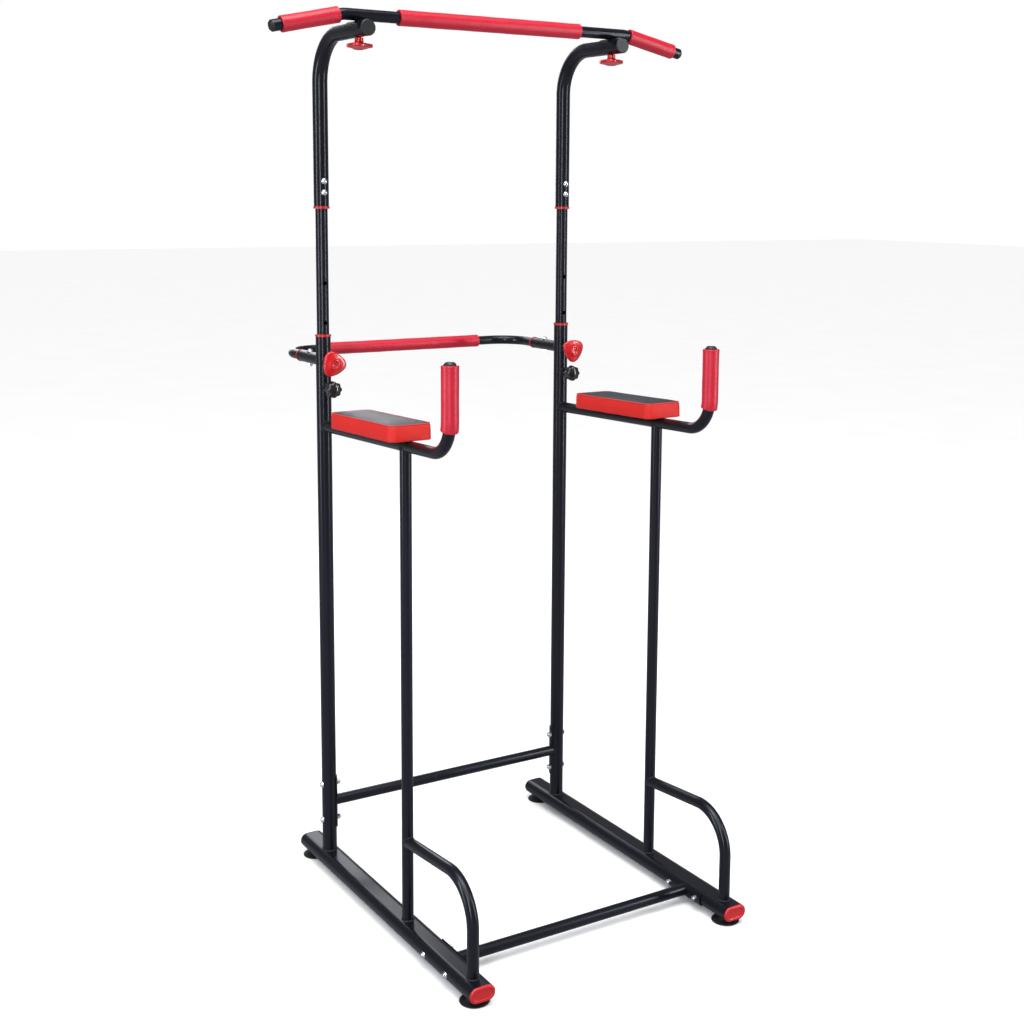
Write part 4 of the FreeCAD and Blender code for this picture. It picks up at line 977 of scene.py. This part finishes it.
# ================================================================ floor, light and camera
SOFT_LIGHTS = (  # name, place, point that it faces, width and height, watts
    ("top_box", (-0.6, -0.9, 4.7), (0.0, -0.1, 1.0), (2.2, 1.6), 60),
    ("key_strip", (-3.4, -4.0, 2.4), (0.0, 0.0, 1.1), (0.5, 3.6), 110),
    ("left_strip", (-4.4, 0.4, 1.9), (0.0, 0.0, 1.1), (0.6, 3.6), 90),
    ("right_strip", (3.0, -3.2, 1.8), (0.0, 0.0, 1.1), (0.45, 3.4), 90),
    ("rear_fill", (0.8, 4.4, 2.6), (0.0, 0.0, 1.0), (2.4, 2.4), 50))
CAMERA_PLACE = (-1.8976, -3.2158, 1.8008)
CAMERA_TURN = (32.439, -8.394, 0.508)                # yaw, pitch and roll in degrees


def stage_floor():
    """Flat square of floor, far wider than the view: pale to the eye, and dimmer in reflections."""
    reach = 40.0
    mesh = bpy.data.meshes.new("floor")
    mesh.from_pydata([(-reach, -reach, 0), (reach, -reach, 0), (reach, reach, 0), (-reach, reach, 0)],
                     [], [(0, 1, 2, 3)])
    floor = new_object("floor", mesh)
    finish = Finish("floor_pale", Roughness=0.75)
    seen = Value(finish, finish.add("ShaderNodeLightPath").outputs["Is Camera Ray"])
    pale = finish.blend(finish.noise(2.0), rgb(246, 246, 247), rgb(252, 252, 252))
    mesh.materials.append(finish.surface(Base_Color=finish.blend(seen, rgb(140, 140, 146), pale)))


def soft_light(name, at, towards, size, power):
    """Rectangular softbox at a place, facing a point."""
    lamp = bpy.data.lights.new(name, "AREA")
    lamp.shape = "RECTANGLE"
    lamp.size, lamp.size_y = size
    lamp.energy = power
    lamp.color = (0.93, 0.96, 1.0)
    holder = new_object(name, lamp)
    holder.location = at
    holder.rotation_euler = (Vector(towards) - Vector(at)).to_track_quat("-Z", "Y").to_euler()
    holder.visible_camera = False


def studio():
    """White backdrop to the eye and dimmer to the object, an even sky glow, and tall softboxes."""
    world = bpy.data.worlds.new("studio")
    world.use_nodes = True
    tree = world.node_tree
    backdrop = tree.nodes["Background"]
    backdrop.inputs["Color"].default_value = (1.0, 1.0, 1.0, 1.0)
    path = tree.nodes.new("ShaderNodeLightPath")
    level = tree.nodes.new("ShaderNodeMapRange")
    level.inputs["To Min"].default_value = 0.22
    level.inputs["To Max"].default_value = 1.0
    tree.links.new(path.outputs["Is Camera Ray"], level.inputs["Value"])
    tree.links.new(level.outputs[0], backdrop.inputs["Strength"])
    bpy.context.scene.world = world
    glow = bpy.data.lights.new("sky_glow", "SUN")
    glow.energy = 2.75
    glow.angle = math.radians(70.0)
    glow.specular_factor = 0.4
    holder = new_object("sky_glow", glow)
    holder.rotation_euler = (math.radians(14.0), math.radians(-10.0), 0.0)
    for light in SOFT_LIGHTS:
        soft_light(*light)


def camera():
    """Standing viewer in front and to the left, looking slightly down."""
    data = bpy.data.cameras.new("camera")
    data.sensor_width = 36.0
    data.lens = 52.271
    data.shift_x = -0.0351
    data.shift_y = -0.1
    holder = new_object("camera", data)
    yaw, pitch, roll = np.radians(CAMERA_TURN).tolist()
    forward = Vector((math.sin(yaw) * math.cos(pitch), math.cos(yaw) * math.cos(pitch),
                      math.sin(pitch)))
    right = Vector((math.cos(yaw), -math.sin(yaw), 0.0))
    up = right.cross(forward)
    turned_right = right * math.cos(roll) + up * math.sin(roll)
    turned_up = up * math.cos(roll) - right * math.sin(roll)
    basis = Matrix((turned_right, turned_up, -forward)).transposed()
    holder.matrix_world = Matrix.Translation(CAMERA_PLACE) @ basis.to_4x4()
    bpy.context.scene.camera = holder
    bpy.context.scene.view_settings.view_transform = "Standard"


foam_pieces()
pad_pieces()
knob_pieces()
foot_pieces()
cap_pieces()
weld_pieces()
stage_floor()
studio()
camera()
